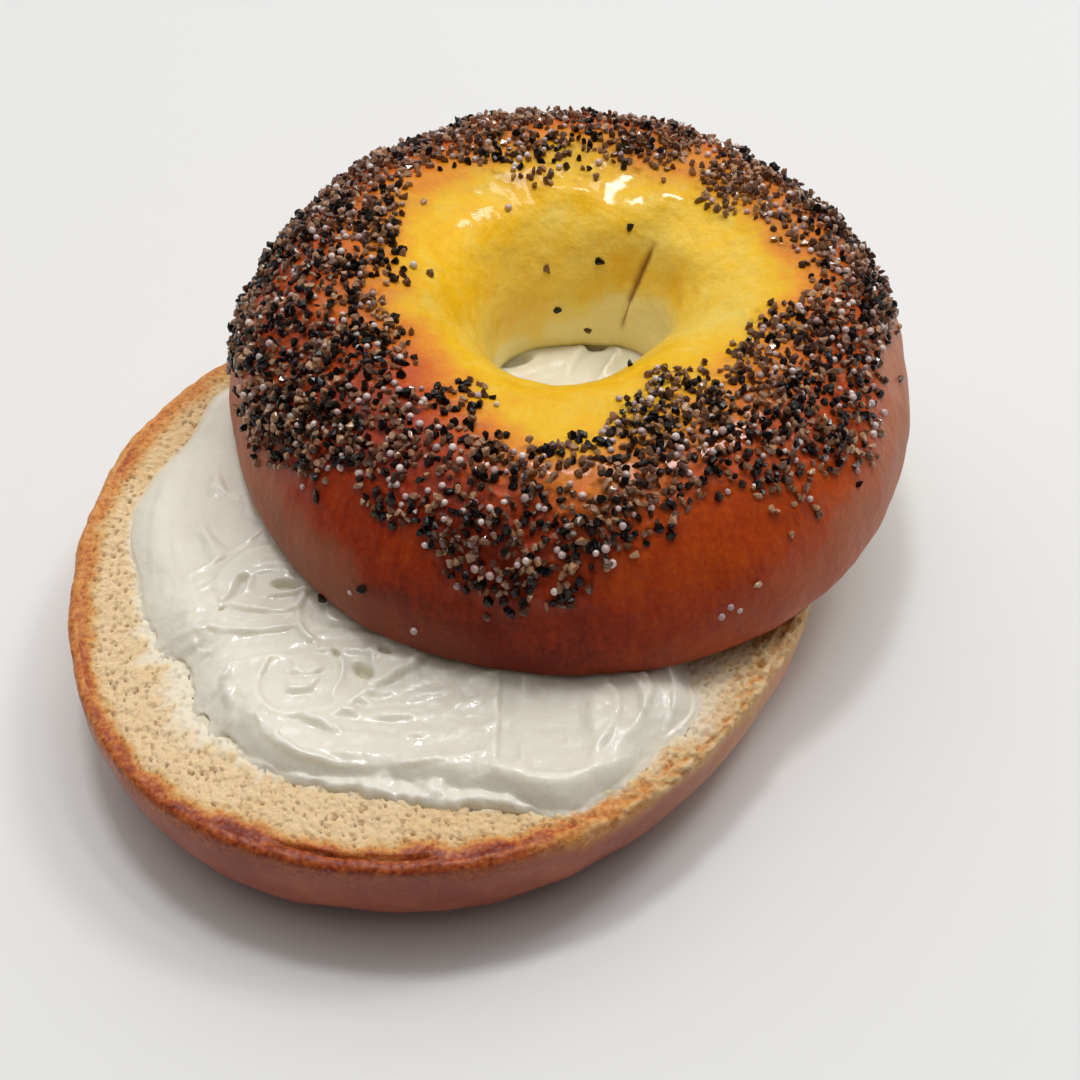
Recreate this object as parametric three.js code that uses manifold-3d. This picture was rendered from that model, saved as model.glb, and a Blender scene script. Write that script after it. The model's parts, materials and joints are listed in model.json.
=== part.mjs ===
// A seeded bagel, sliced through and spread with soft cheese. The bottom half lies on its flat base with
// its cut face up, the spread covers most of that face, and the seeded top half has slid towards the back
// right, so that a crescent of spread and crumb stays bare at the front left.
// Millimetres, +Z up, the origin on the table under the middle of the whole.
import * as THREE from "three";
import { mergeVertices } from "three/addons/utils/BufferGeometryUtils.js";
import Module from "manifold-3d";

const wasm = await Module();
wasm.setup();

const DEG = Math.PI / 180;
const GAP = 0.3; // air between pieces that touch

// ---- Driving dimensions ----

// Bottom half. Its cut rim is a closed curve through [angle in degrees, distance from its centre].
const BOTTOM_CENTRE = [-10.18, -12.78];
const BOTTOM_EDGE = [
  [0, 54], [20, 52.6], [45, 51], [75, 51.2], [105, 52.6], [130, 52.2], [150, 50.6], [165, 49.4],
  [182, 49], [198, 50], [215, 51.9], [232, 53.5], [250, 53.7], [270, 53.2], [290, 52.2], [315, 50.7],
  [333, 51.2],
];
const BOTTOM_HEIGHT = 17;
const BOTTOM_UNDERCUT = 8.5; // how far the crust curls in from the cut rim to the base
const BOTTOM_HOLE = { centre: [1, 2], radius: 10.5, flare: 7 };
const RIM_ROUND = 1.2; // soft edge where the cut face meets the crust

// Top half, in its own frame: the cut face is at z = 0. Lobes are [waves round the ring, share of the
// radius, angle of a crest in degrees].
const TOP_CENTRE = [9.64, 14.15];
const TOP_RADIUS = 50.86;
const TOP_LOBES = [
  [2, 0.0268, 91.4],
  [3, 0.0074, 0.6],
  [4, 0.0055, 5.6],
  [5, 0.007, 21],
];
const TOP_LIFT = 20; // height of its cut face over the table
const TOP_LEAN = 1.2; // degrees, down towards the right
const CREST_HEIGHT = 24;
const CREST_LUMPS = [
  [2, 0.4, 95],
  [3, 0.5, 40],
  [5, 0.25, 95],
];
const CREST_SHARE = 0.53; // where the crest lies between the hole and the outer edge
const FUNNEL_STEEPNESS = 1.3; // 1 for a round funnel, more for a steeper wall in the hole
const BELLY_HEIGHT = 2.6; // the widest ring of the crust over the cut face
const BELLY_OVERHANG = 0.9;
const TOP_HOLE = { centre: [0.86, 2.61], radius: 12, lobes: [[2, 0.091, 48], [3, 0.099, 264]] };
// The seam in the hole's wall where the ends of the dough were joined: a shallow valley with a slit in its
// middle. Widths are in degrees round the hole.
const SEAM = { angle: 52, turn: -13, low: 0.1, high: 0.54, width: 3, depth: 0.9 };
const SEAM_VALLEY = { width: 9, depth: 1.1 };
// Soft swellings that the pinch pushed up beside the seam: [angle, place across, radius, height].
const SWELLINGS = [[74, 0.52, 4.5, 0.9], [31, 0.52, 4.5, 0.8], [128, 0.6, 5, 0.5]];

// Soft cheese: its edge round the bottom half's centre, as [angle in degrees, radius].
const SPREAD_EDGE = [
  [0, 40], [20, 45], [36, 50], [52, 50.3], [68, 50], [88, 47.5], [120, 46.5], [135, 46.5], [146, 42.8],
  [160, 42.8], [174, 42.6], [187, 40.2], [197, 39.8], [207, 39.4], [216, 38], [224, 40.6],
  [236, 41.6], [245, 42.6], [254, 42.2], [264, 42.4], [275, 43.8], [286, 46.2], [294, 48.8],
  [303, 48.2], [312, 46.4], [321, 46.6], [330, 41], [345, 39],
];
const SPREAD_DEPTH = 2.9; // in the open, over the cut face
const SPREAD_EDGE_DEPTH = 0.8;
const SPREAD_ROLL = 3.2; // width over which the edge rolls up to full depth

// Strokes of the knife over the bottom half's centre, in the order in which they were made. Each one
// ploughs a trough of the given width and depth along an arc from "from" through "via" to "to", and throws
// up a ridge on both sides.
const STROKES = [
  { from: [-33, 27], via: [-38, 10], to: [-33, -14], width: 7, depth: 0.7, ridge: 0.5 },
  { from: [-27, 22], via: [-32, 6], to: [-25, -4], width: 6.5, depth: 0.9, ridge: 0.6 },
  { from: [-35, -10], via: [-29, -7], to: [-21, -1], width: 4.5, depth: 0.9, ridge: 0.9 },
  { from: [-33, -17], via: [-22, -14], to: [-10, -17], width: 5, depth: 0.9, ridge: 0.8 },
  { from: [-30, -27], via: [-20, -19], to: [-4, -20], width: 6, depth: 0.8, ridge: 0.8 },
  { from: [-20, -37], via: [-4, -39], to: [13, -37.5], width: 5, depth: 0.8, ridge: 0.9 },
  { from: [-22, -29], via: [-10, -35], to: [10, -31], width: 6, depth: 1.0, ridge: 0.8 },
  { from: [-15, -30], via: [-4, -30], to: [8, -24], width: 5, depth: 0.9, ridge: 0.8 },
  { from: [-12, -28], via: [-5, -25], to: [2, -19], width: 4.5, depth: 1.0, ridge: 0.8 },
  { from: [-9, -24], via: [-7, -23], to: [-5, -22], width: 3.2, depth: 1.4, ridge: 0.6 },
  { from: [-20, -7], via: [-17, -8.5], to: [-13, -9], width: 3.4, depth: 1.5, ridge: 0.8 },
  { from: [11, -25], via: [11.4, -31], to: [11.2, -38], width: 4.4, depth: 1.0, ridge: 0.7 },
  { from: [19, -23], via: [19.5, -31], to: [17, -40], width: 6, depth: 0.7, ridge: 0.6 },
  { from: [25, -22], via: [26.5, -30], to: [22, -39], width: 5, depth: 0.9, ridge: 0.7 },
  { from: [31, -22], via: [31.5, -28], to: [27, -36], width: 4.6, depth: 0.8, ridge: 0.6 },
];

// Seeds, in a band round the outside of the crest: [angle in degrees, where the band begins, where it ends,
// how thickly they lie]. The places are counted from 0 at the hole through 1 at the crest to 2 at the belly.
const SEED_BAND = [
  [0, 0.98, 1.58, 1], [15, 0.95, 1.68, 1], [30, 0.84, 1.6, 0.9], [45, 0.84, 1.6, 1], [60, 0.86, 1.6, 1],
  [75, 0.86, 1.6, 0.9], [90, 0.84, 1.55, 0.75], [105, 0.8, 1.6, 1], [120, 0.88, 1.55, 0.9],
  [135, 0.98, 1.58, 1], [150, 0.92, 1.64, 1], [165, 0.82, 1.72, 1], [180, 0.86, 1.8, 0.9],
  [195, 0.88, 1.64, 0.95], [210, 0.9, 1.66, 1], [225, 0.98, 1.58, 1], [240, 0.86, 1.52, 0.85],
  [255, 0.99, 1.78, 1], [270, 0.97, 1.7, 1], [285, 0.87, 1.42, 1], [300, 0.7, 1.44, 1],
  [315, 0.85, 1.55, 1], [330, 0.87, 1.6, 1], [345, 0.8, 1.42, 1],
];
const SEED_COUNT = 150;
const SEED_RADIUS = [0.75, 1.0];
const SEED_SUNK = 0.3; // share of its radius that a seed sinks into the crust
const SEED_DRAW = 2024;

// How finely the surfaces are faceted.
const RING_STEPS = 64;
const INNER_STEPS = 7;
const OUTER_STEPS = 8;
const UNDER_STEPS = 2;
const WALL_STEPS = 5;
const SPREAD_OPEN = { from: 140, to: 336, steps: 68 }; // the part that the top half leaves bare
const SPREAD_COVERED_STEPS = 20;
const SPREAD_RINGS = 14;

// ---- Small tools ----

const mix = (a, b, t) => a + (b - a) * t;
const clamp = (x, low, high) => Math.min(high, Math.max(low, x));
const ease = (t) => {
  const x = clamp(t, 0, 1);
  return x * x * (3 - 2 * x);
};
const waves = (lobes, angle) =>
  lobes.reduce((sum, [count, size, crest]) => sum + size * Math.cos(count * (angle - crest * DEG)), 0);
const lobed = (radius, lobes) => (angle) => radius * (1 + waves(lobes, angle));
const polar = ([x, y], radius, angle) => [x + radius * Math.cos(angle), y + radius * Math.sin(angle)];

// A smooth closed curve through [angle in degrees, value, ...]; "column" says which value.
function roundCurve(points, angle, column = 1) {
  const degrees = (((angle / DEG - points[0][0]) % 360) + 360) % 360 + points[0][0];
  const count = points.length;
  const after = points.findIndex(([at]) => at > degrees);
  const k = (after < 0 ? count : after) - 1;
  const point = (i) => {
    const turns = Math.floor(i / count);
    const row = points[i - turns * count];
    return [row[0] + 360 * turns, row[column]];
  };
  const [p0, p1, p2, p3] = [point(k - 1), point(k), point(k + 1), point(k + 2)];
  const width = p2[0] - p1[0];
  const t = (degrees - p1[0]) / width;
  const slope1 = ((p2[1] - p0[1]) / (p2[0] - p0[0])) * width;
  const slope2 = ((p3[1] - p1[1]) / (p3[0] - p1[0])) * width;
  const rise = p2[1] - p1[1];
  return p1[1] + t * (slope1 + t * (3 * rise - 2 * slope1 - slope2 + t * (slope1 + slope2 - 2 * rise)));
}

// A repeatable stream of numbers from 0 to 1.
function drawer(seed) {
  let state = seed;
  return () => {
    state = (state * 1664525 + 1013904223) % 4294967296;
    return state / 4294967296;
  };
}

// A closed ring surface: each column is one closed section, running outwards over the top of the ring and
// back in underneath it.
function ringGeometry(columns) {
  const rows = columns[0].length;
  const position = columns.flat(2);
  const index = [];
  columns.forEach((_, i) => {
    const next = (i + 1) % columns.length;
    for (let j = 0; j < rows; j++) {
      const a = i * rows + j;
      const b = next * rows + j;
      const c = next * rows + ((j + 1) % rows);
      const d = i * rows + ((j + 1) % rows);
      index.push(a, c, b, a, d, c);
    }
  });
  return new THREE.BufferGeometry()
    .setAttribute("position", new THREE.Float32BufferAttribute(position, 3))
    .setIndex(index);
}

function solidOf(geometry) {
  const bare = geometry.clone();
  bare.deleteAttribute("normal");
  bare.deleteAttribute("uv");
  const merged = mergeVertices(bare, 1e-4);
  return new wasm.Manifold(
    new wasm.Mesh({
      numProp: 3,
      vertProperties: merged.attributes.position.array,
      triVerts: new Uint32Array(merged.index.array),
    }),
  );
}

function geometryOf(solid) {
  const mesh = solid.getMesh();
  return new THREE.BufferGeometry()
    .setAttribute("position", new THREE.Float32BufferAttribute(mesh.vertProperties, 3))
    .setIndex(new THREE.Uint32BufferAttribute(mesh.triVerts, 1));
}

// ---- Bottom half ----

const bottomEdge = (angle) => roundCurve(BOTTOM_EDGE, angle);

// One section, from the cut rim down the crust and back in under the base to the hole.
function bottomColumn(angle) {
  const { centre, radius, flare } = BOTTOM_HOLE;
  const outer = bottomEdge(angle);
  const quarter = (steps, point) => Array.from({ length: steps }, (_, i) => point(((i + 1) / steps) * 90 * DEG));
  const onEdge = (inset, z) => [...polar([0, 0], outer - inset, angle), z];
  const onHole = (outset, z) => [...polar(centre, radius + outset, angle), z];
  const wall = BOTTOM_HEIGHT - RIM_ROUND;
  return [
    onEdge(RIM_ROUND, BOTTOM_HEIGHT),
    ...quarter(2, (t) => onEdge(RIM_ROUND * (1 - Math.sin(t)), BOTTOM_HEIGHT - RIM_ROUND * (1 - Math.cos(t)))),
    ...quarter(WALL_STEPS, (t) => onEdge(BOTTOM_UNDERCUT * (1 - Math.cos(t)), wall * (1 - Math.sin(t)))),
    onHole(flare, 0),
    ...quarter(WALL_STEPS - 1, (t) => onHole(flare * (1 - Math.sin(t)), wall * (1 - Math.cos(t)))),
    onHole(RIM_ROUND / 2, BOTTOM_HEIGHT),
  ];
}

function bottomHalf() {
  const columns = Array.from({ length: RING_STEPS }, (_, i) => bottomColumn((i / RING_STEPS) * 360 * DEG));
  return ringGeometry(columns);
}

// ---- Top half ----

const topEdge = lobed(TOP_RADIUS, TOP_LOBES);
const topHoleEdge = lobed(TOP_HOLE.radius, TOP_HOLE.lobes);

// How far the seam is pinched back from the wall of the funnel. It leans a little as it climbs.
function seamDepth(angle, across) {
  const off = angle / DEG - (SEAM.angle + SEAM.turn * (across - 0.35));
  const valley = SEAM_VALLEY.depth * Math.exp(-((off / SEAM_VALLEY.width) ** 2));
  const slit = SEAM.depth * Math.exp(-((off / SEAM.width) ** 2));
  const valleyReach = ease((across - 0.1) / 0.3) * ease((1 - across) / 0.3);
  const slitReach = ease((across - SEAM.low) / 0.08) * ease((SEAM.high - across) / 0.14);
  return valley * valleyReach + slit * slitReach;
}

function swelling(angle, across) {
  return SWELLINGS.reduce((sum, [at, place, radius, height]) => {
    const round = (angle - at * DEG) * (TOP_HOLE.radius + 8);
    const up = (across - place) * 30;
    return sum + height * Math.exp(-(round * round + up * up) / (radius * radius));
  }, 0);
}

// A point of the crust. "across" runs from 0 at the hole's lower edge through 1 at the crest to 2 at the
// belly of the outer wall.
function crustPoint(angle, across) {
  const inner = polar(TOP_HOLE.centre, topHoleEdge(angle), angle);
  const outer = polar([0, 0], topEdge(angle), angle);
  const crest = CREST_HEIGHT + waves(CREST_LUMPS, angle);
  const t = clamp(across, 0, 2) * 90 * DEG;
  const inside = across < 1;
  const funnel = Math.max(0, 1 - Math.cos(t)) ** FUNNEL_STEEPNESS;
  const share = inside ? CREST_SHARE * funnel : mix(CREST_SHARE, 1, -Math.cos(t));
  const dome = inside ? crest * Math.sin(t) : mix(BELLY_HEIGHT, crest, Math.sin(t));
  const height = dome + swelling(angle, across) * ease(across / 0.3);
  const reach = share + seamDepth(angle, across) / (TOP_RADIUS - TOP_HOLE.radius);
  return [mix(inner[0], outer[0], reach), mix(inner[1], outer[1], reach), height];
}

function topColumn(angle) {
  const inner = Array.from({ length: INNER_STEPS }, (_, i) => crustPoint(angle, i / INNER_STEPS));
  const outer = Array.from({ length: OUTER_STEPS + 1 }, (_, i) => crustPoint(angle, 1 + i / OUTER_STEPS));
  const under = Array.from({ length: UNDER_STEPS }, (_, i) => {
    const t = ((i + 1) / UNDER_STEPS) * 90 * DEG;
    const radius = topEdge(angle) - BELLY_OVERHANG * (1 - Math.cos(t));
    return [...polar([0, 0], radius, angle), BELLY_HEIGHT * (1 - Math.sin(t))];
  });
  return [...inner, ...outer, ...under];
}

// How thickly the seeds lie at a place of the crust, from 0 to 1.
function seedCover(angle, across) {
  const [begins, ends, share] = [1, 2, 3].map((column) => roundCurve(SEED_BAND, angle, column));
  return share * ease((across - begins) / 0.1 + 0.5) * ease((ends - across) / 0.1 + 0.5);
}

// Seeds stand on a sunflower pattern, which spreads them evenly, with a small draw in size and turn.
function seedSolids() {
  const draw = drawer(SEED_DRAW);
  const seeds = [];
  const golden = 137.508 * DEG;
  for (let i = 0; seeds.length < SEED_COUNT; i++) {
    const angle = (i * golden) % (360 * DEG);
    const across = 0.82 + 0.95 * ((i * 0.7548776662) % 1);
    const radius = mix(SEED_RADIUS[0], SEED_RADIUS[1], draw());
    const turn = new THREE.Euler(draw() * 6, draw() * 6, draw() * 6);
    if (draw() > seedCover(angle, across)) continue;
    const at = new THREE.Vector3(...crustPoint(angle, across));
    const ahead = new THREE.Vector3(...crustPoint(angle, across + 0.02)).sub(at);
    const beside = new THREE.Vector3(...crustPoint(angle + 0.02, across)).sub(at);
    const outward = beside.cross(ahead).normalize().negate();
    const seed = new THREE.IcosahedronGeometry(radius, 0);
    seed.rotateX(turn.x).rotateY(turn.y).rotateZ(turn.z);
    const centre = at.addScaledVector(outward, radius * (1 - SEED_SUNK) - radius * 0.35);
    seeds.push(solidOf(seed.translate(centre.x, centre.y, centre.z)));
  }
  return seeds;
}

function topHalf() {
  const columns = Array.from({ length: RING_STEPS }, (_, i) => topColumn((i / RING_STEPS) * 360 * DEG));
  const ring = solidOf(ringGeometry(columns));
  return geometryOf(wasm.Manifold.union([ring, ...seedSolids()]));
}

// ---- Spread ----

const spreadEdge = (angle) => roundCurve(SPREAD_EDGE, angle);

// The knife's path as a fine chain of points, so that the nearest one tells how far off a place is.
const strokePaths = STROKES.map(({ from, via, to }) => {
  const curve = new THREE.QuadraticBezierCurve(
    new THREE.Vector2(...from),
    new THREE.Vector2(2 * via[0] - (from[0] + to[0]) / 2, 2 * via[1] - (from[1] + to[1]) / 2),
    new THREE.Vector2(...to),
  );
  return curve.getPoints(40);
});

// What the knife leaves across a stroke: a trough with a ridge thrown up at both sides.
function strokeRelief(x, y) {
  let relief = 0;
  STROKES.forEach(({ width, depth, ridge }, k) => {
    let nearest = Infinity;
    for (const point of strokePaths[k]) nearest = Math.min(nearest, Math.hypot(point.x - x, point.y - y));
    const off = nearest / (width / 2);
    if (off > 1.6) return;
    const trough = -depth * (1 - ease(off / 0.9));
    const lip = ridge * Math.exp(-(((off - 1.05) / 0.28) ** 2));
    relief = mix(relief, trough + lip, 1 - ease((off - 1.1) / 0.5));
  });
  return relief;
}

// Height of the top half's cut face over a place, and how far that place lies inside the top half.
function underTop(x, y) {
  const dx = x - (TOP_CENTRE[0] - BOTTOM_CENTRE[0]);
  const dy = y - (TOP_CENTRE[1] - BOTTOM_CENTRE[1]);
  const angle = Math.atan2(dy, dx);
  const inset = topEdge(angle) - Math.hypot(dx, dy);
  const [hx, hy] = TOP_HOLE.centre;
  const fromHole = Math.hypot(dx - hx, dy - hy) - topHoleEdge(Math.atan2(dy - hy, dx - hx));
  return { ceiling: TOP_LIFT - dx * Math.tan(TOP_LEAN * DEG) - GAP, inset: Math.min(inset, fromHole) };
}

function spreadTop(x, y, fromEdge) {
  const roll = Math.sqrt(ease(fromEdge / SPREAD_ROLL));
  const open = BOTTOM_HEIGHT + GAP + mix(SPREAD_EDGE_DEPTH, SPREAD_DEPTH + strokeRelief(x, y), roll);
  const { ceiling, inset } = underTop(x, y);
  const bulge = 1.4; // the spread stands a little proud just outside the edge that presses on it
  return mix(Math.min(open, ceiling + bulge), Math.min(open, ceiling), ease((inset + 2.5) / 2));
}

function spread() {
  const { from, to, steps } = SPREAD_OPEN;
  const angles = [
    ...Array.from({ length: steps }, (_, i) => mix(from, to, i / steps)),
    ...Array.from({ length: SPREAD_COVERED_STEPS }, (_, i) => mix(to, from + 360, i / SPREAD_COVERED_STEPS)),
  ].map((degrees) => degrees * DEG);
  const floor = BOTTOM_HEIGHT + GAP;
  const position = [0, 0, floor, 0, 0, spreadTop(0, 0, spreadEdge(0))];
  const index = [];
  angles.forEach((angle, i) => {
    const edge = spreadEdge(angle);
    for (let j = 1; j <= SPREAD_RINGS; j++) {
      const radius = edge * (j / SPREAD_RINGS) ** 0.8;
      const [x, y] = polar([0, 0], radius, angle);
      position.push(x, y, spreadTop(x, y, edge - radius));
    }
    position.push(...polar([0, 0], edge - SPREAD_EDGE_DEPTH / 2, angle), floor);
    const stride = SPREAD_RINGS + 1;
    const here = 2 + i * stride;
    const next = 2 + ((i + 1) % angles.length) * stride;
    index.push(1, here, next, 0, next + SPREAD_RINGS, here + SPREAD_RINGS);
    for (let j = 0; j < SPREAD_RINGS; j++) {
      index.push(here + j, here + j + 1, next + j + 1, here + j, next + j + 1, next + j);
    }
  });
  return new THREE.BufferGeometry()
    .setAttribute("position", new THREE.Float32BufferAttribute(position, 3))
    .setIndex(index);
}

// ---- The whole ----

const crumb = new THREE.MeshStandardMaterial({ color: 0xd9a766, roughness: 0.75, metalness: 0 });
const cheese = new THREE.MeshStandardMaterial({ color: 0xe6e3d4, roughness: 0.3, metalness: 0 });
const crust = new THREE.MeshStandardMaterial({ color: 0x9c4a20, roughness: 0.32, metalness: 0 });

function piece(name, geometry, material, position, lean = 0) {
  const mesh = new THREE.Mesh(geometry, material);
  mesh.name = name;
  mesh.position.set(...position);
  mesh.rotation.y = lean * DEG;
  return mesh;
}

const bagel = new THREE.Group();
bagel.add(
  piece("bottom_half", bottomHalf(), crumb, [...BOTTOM_CENTRE, 0]),
  piece("cheese_spread", spread(), cheese, [...BOTTOM_CENTRE, 0]),
  piece("top_half", topHalf(), crust, [...TOP_CENTRE, TOP_LIFT], TOP_LEAN),
);

export default bagel;
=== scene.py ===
# %% [markdown]
# # A seeded bagel with soft cheese
#
# This lesson dresses a sliced bagel: a lower half with its crumb showing, a layer of soft cheese with the
# marks of the knife, and a glossy upper half under a band of seeds. The plain solids come from a packed
# model. They say where each piece is and how large it is. Here each of them is replaced by a finer mesh of
# the same form, with the finish of the real food.
#
# All the shapes are worked out in millimetres, because bread is easier to think of that way, and turned
# into metres only where a mesh is made.

import json
import math

import bmesh
import bpy
import numpy as np
from mathutils import Euler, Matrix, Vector

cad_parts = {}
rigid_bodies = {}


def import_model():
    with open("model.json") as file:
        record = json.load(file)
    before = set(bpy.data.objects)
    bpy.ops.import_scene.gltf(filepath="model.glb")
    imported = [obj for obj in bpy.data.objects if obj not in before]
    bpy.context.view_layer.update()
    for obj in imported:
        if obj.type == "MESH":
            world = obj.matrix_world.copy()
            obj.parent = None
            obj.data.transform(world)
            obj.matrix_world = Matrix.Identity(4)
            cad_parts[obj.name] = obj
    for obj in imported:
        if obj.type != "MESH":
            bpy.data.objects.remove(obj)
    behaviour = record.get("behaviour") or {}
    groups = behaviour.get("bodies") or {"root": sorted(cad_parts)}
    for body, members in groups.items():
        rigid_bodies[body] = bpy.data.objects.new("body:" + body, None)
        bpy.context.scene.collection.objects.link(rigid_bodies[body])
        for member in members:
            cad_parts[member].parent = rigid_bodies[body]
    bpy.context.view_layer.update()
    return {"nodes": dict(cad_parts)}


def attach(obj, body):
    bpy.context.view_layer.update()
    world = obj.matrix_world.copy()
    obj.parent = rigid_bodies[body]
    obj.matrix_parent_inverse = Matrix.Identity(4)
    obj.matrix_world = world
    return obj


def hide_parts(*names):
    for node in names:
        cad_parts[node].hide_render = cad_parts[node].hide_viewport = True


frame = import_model()
print("pieces in the frame:", sorted(frame["nodes"]))

# %% [markdown]
# ## The driving sizes
#
# These are the sizes of the loaf itself: where each half lies, its outline, how high it rises and how its
# hole runs. Everything below is worked out from them. An outline is a short list of angles and distances,
# with a smooth curve laid through them, because a hand-shaped ring is never a true circle.

# %% Sizes in millimetres
MM = 0.001
DEG = math.pi / 180

BOTTOM_CENTRE = (-10.18, -12.78)
BOTTOM_EDGE = [
    (0, 54), (20, 52.6), (45, 51), (75, 51.2), (105, 52.6), (130, 52.2), (150, 50.6), (165, 49.4),
    (182, 49), (198, 50), (215, 51.9), (232, 53.5), (250, 53.7), (270, 53.2), (290, 52.2), (315, 50.7),
    (333, 51.2),
]
BOTTOM_HEIGHT = 17.0
BOTTOM_UNDERCUT = 8.5
BOTTOM_HOLE = {"centre": (1.0, 2.0), "radius": 10.5, "flare": 7.0}
RIM_ROUND = 1.2

TOP_CENTRE = (9.64, 14.15)
TOP_RADIUS = 50.86
TOP_LOBES = [(2, 0.0268, 91.4), (3, 0.0074, 0.6), (4, 0.0055, 5.6), (5, 0.007, 21)]
TOP_LIFT = 20.0
TOP_LEAN = 1.2
CREST_HEIGHT = 24.0
CREST_LUMPS = [(2, 0.4, 95), (3, 0.5, 40), (5, 0.25, 95)]
CREST_SHARE = 0.53
FUNNEL_STEEPNESS = 1.3
BELLY_HEIGHT = 2.6
BELLY_OVERHANG = 0.9
TOP_HOLE = {"centre": (0.86, 2.61), "radius": 12.0, "lobes": [(2, 0.091, 48), (3, 0.099, 264)]}

CRUST_THICK = 1.6
SPREAD_EDGE = [
    (0, 40), (20, 45), (36, 50), (52, 50.3), (68, 50), (88, 47.5), (120, 46.5), (135, 46.5), (146, 42.8),
    (160, 42.8), (174, 42.6), (187, 40.2), (197, 39.8), (207, 39.4), (216, 38), (224, 40.6),
    (236, 41.6), (245, 42.6), (254, 42.2), (264, 42.4), (275, 43.8), (286, 46.2), (294, 48.8),
    (303, 48.2), (312, 46.4), (321, 46.6), (330, 41), (345, 39),
]
print(f"lower half {2 * BOTTOM_EDGE[0][1]:.0f} mm across, upper half {2 * TOP_RADIUS:.0f} mm")

# %% [markdown]
# ## Small tools
#
# Four tools carry the whole lesson. `round_curve` lays a smooth closed curve through a few values given
# round the ring. `lumps` is soft noise: random heights on a grid, blended smoothly, which gives dough its
# unevenness. `sheet_faces` joins rows of points into a skin. `new_piece` turns points and faces into a
# Blender mesh that sits at the origin with its place in its points, so that a pattern on Object
# coordinates stays put. Noise that should run along a surface, such as brush marks or torn shreds, is read
# at places on an unrolled sheet, which `on_sheet` lays out.

# %% Curves and noise
NOISE_CELLS = 64  # the noise comes round again after this many lumps
NOISE_GAIN = 1.25


def ease(t):
    t = np.clip(t, 0.0, 1.0)
    return t * t * (3.0 - 2.0 * t)


def mix(a, b, t):
    return a + (b - a) * t


def round_curve(rows, angles, column=1):
    """A smooth closed curve through rows of (degrees, value, ...), read at the angles in radians."""
    at = np.array([row[0] for row in rows], float)
    value = np.array([row[column] for row in rows], float)
    at = np.concatenate([at[-2:] - 360, at, at[:3] + 360])
    value = np.concatenate([value[-2:], value, value[:3]])
    degrees = (np.degrees(angles) - rows[0][0]) % 360 + rows[0][0]
    k = np.clip(np.searchsorted(at, degrees, side="right") - 1, 1, len(at) - 3)
    width = at[k + 1] - at[k]
    t = (degrees - at[k]) / width
    slope1 = (value[k + 1] - value[k - 1]) / (at[k + 1] - at[k - 1]) * width
    slope2 = (value[k + 2] - value[k]) / (at[k + 2] - at[k]) * width
    rise = value[k + 1] - value[k]
    return value[k] + t * (slope1 + t * (3 * rise - 2 * slope1 - slope2 + t * (slope1 + slope2 - 2 * rise)))


def waves(lobes, angles):
    return sum(size * np.cos(count * (angles - crest * DEG)) for count, size, crest in lobes)


def on_sheet(x, y):
    """Places on a flat sheet, from how far along and how far across they lie."""
    x, y = np.broadcast_arrays(x, y)
    return np.stack([x, y, np.zeros_like(x)], -1)


def random_grid(seed):
    return np.random.default_rng(seed).uniform(-1.0, 1.0, (NOISE_CELLS,) * 3).astype(np.float32)


def lumps(points, size, seed, octaves=1):
    """Soft noise from about -1 to 1 at points in mm; size is the width of one lump in mm."""
    total = np.zeros(points.shape[:-1])
    weight = 1.0
    for octave in range(octaves):
        grid = random_grid(seed + octave)
        p = points / (size * 0.5**octave) + 31.7 * (octave + 1)
        cell = np.floor(p).astype(int)
        f = p - cell
        f = f * f * f * (f * (f * 6 - 15) + 10)
        cell %= NOISE_CELLS
        following = (cell + 1) % NOISE_CELLS
        corners = (cell, following)
        value = 0.0
        for i in (0, 1):
            for j in (0, 1):
                for k in (0, 1):
                    share = np.where(i, f[..., 0], 1 - f[..., 0]) * np.where(j, f[..., 1], 1 - f[..., 1])
                    share = share * np.where(k, f[..., 2], 1 - f[..., 2])
                    value = value + share * grid[corners[i][..., 0], corners[j][..., 1], corners[k][..., 2]]
        total += weight * value * NOISE_GAIN
        weight *= 0.5
    return total


# %% Meshes


def sheet_faces(columns, rows):
    """Four-sided faces for a ring of columns, each a closed loop of rows, facing outwards."""
    i, j = np.meshgrid(np.arange(columns), np.arange(rows), indexing="ij")
    across = (i + 1) % columns
    along = (j + 1) % rows
    corners = [i * rows + j, i * rows + along, across * rows + along, across * rows + j]
    return np.stack(corners, -1).reshape(-1, 4)


def uneven(stops):
    """Numbers from the first stop to the last; each stop after the first is (value, steps to reach it)."""
    values = [np.array([stops[0]], float)]
    for value, steps in stops[1:]:
        values.append(np.linspace(values[-1][-1], value, steps + 1)[1:])
    return np.concatenate(values)


def new_piece(name, points, faces):
    """A smooth mesh object from points in mm (any shape that ends in 3) and faces."""
    mesh = bpy.data.meshes.new(name)
    mesh.from_pydata((points.reshape(-1, 3) * MM).tolist(), [], faces.tolist())
    mesh.update()
    mesh.shade_smooth()
    piece = bpy.data.objects.new(name, mesh)
    bpy.context.scene.collection.objects.link(piece)
    return piece


def paint(piece, marks):
    """Keeps named numbers for each point of the piece, which its material or a node tree can read."""
    for name, values in marks.items():
        layer = piece.data.attributes.new(name, "FLOAT", "POINT")
        layer.data.foreach_set("value", np.ascontiguousarray(values, np.float32).ravel())


def paint_vector(piece, name, vectors):
    """Keeps three numbers for each point, such as coordinates that follow the surface."""
    layer = piece.data.attributes.new(name, "FLOAT_VECTOR", "POINT")
    layer.data.foreach_set("vector", np.ascontiguousarray(vectors, np.float32).ravel())


def triangles(piece):
    return sum(len(face.vertices) - 2 for face in piece.data.polygons)


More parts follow.
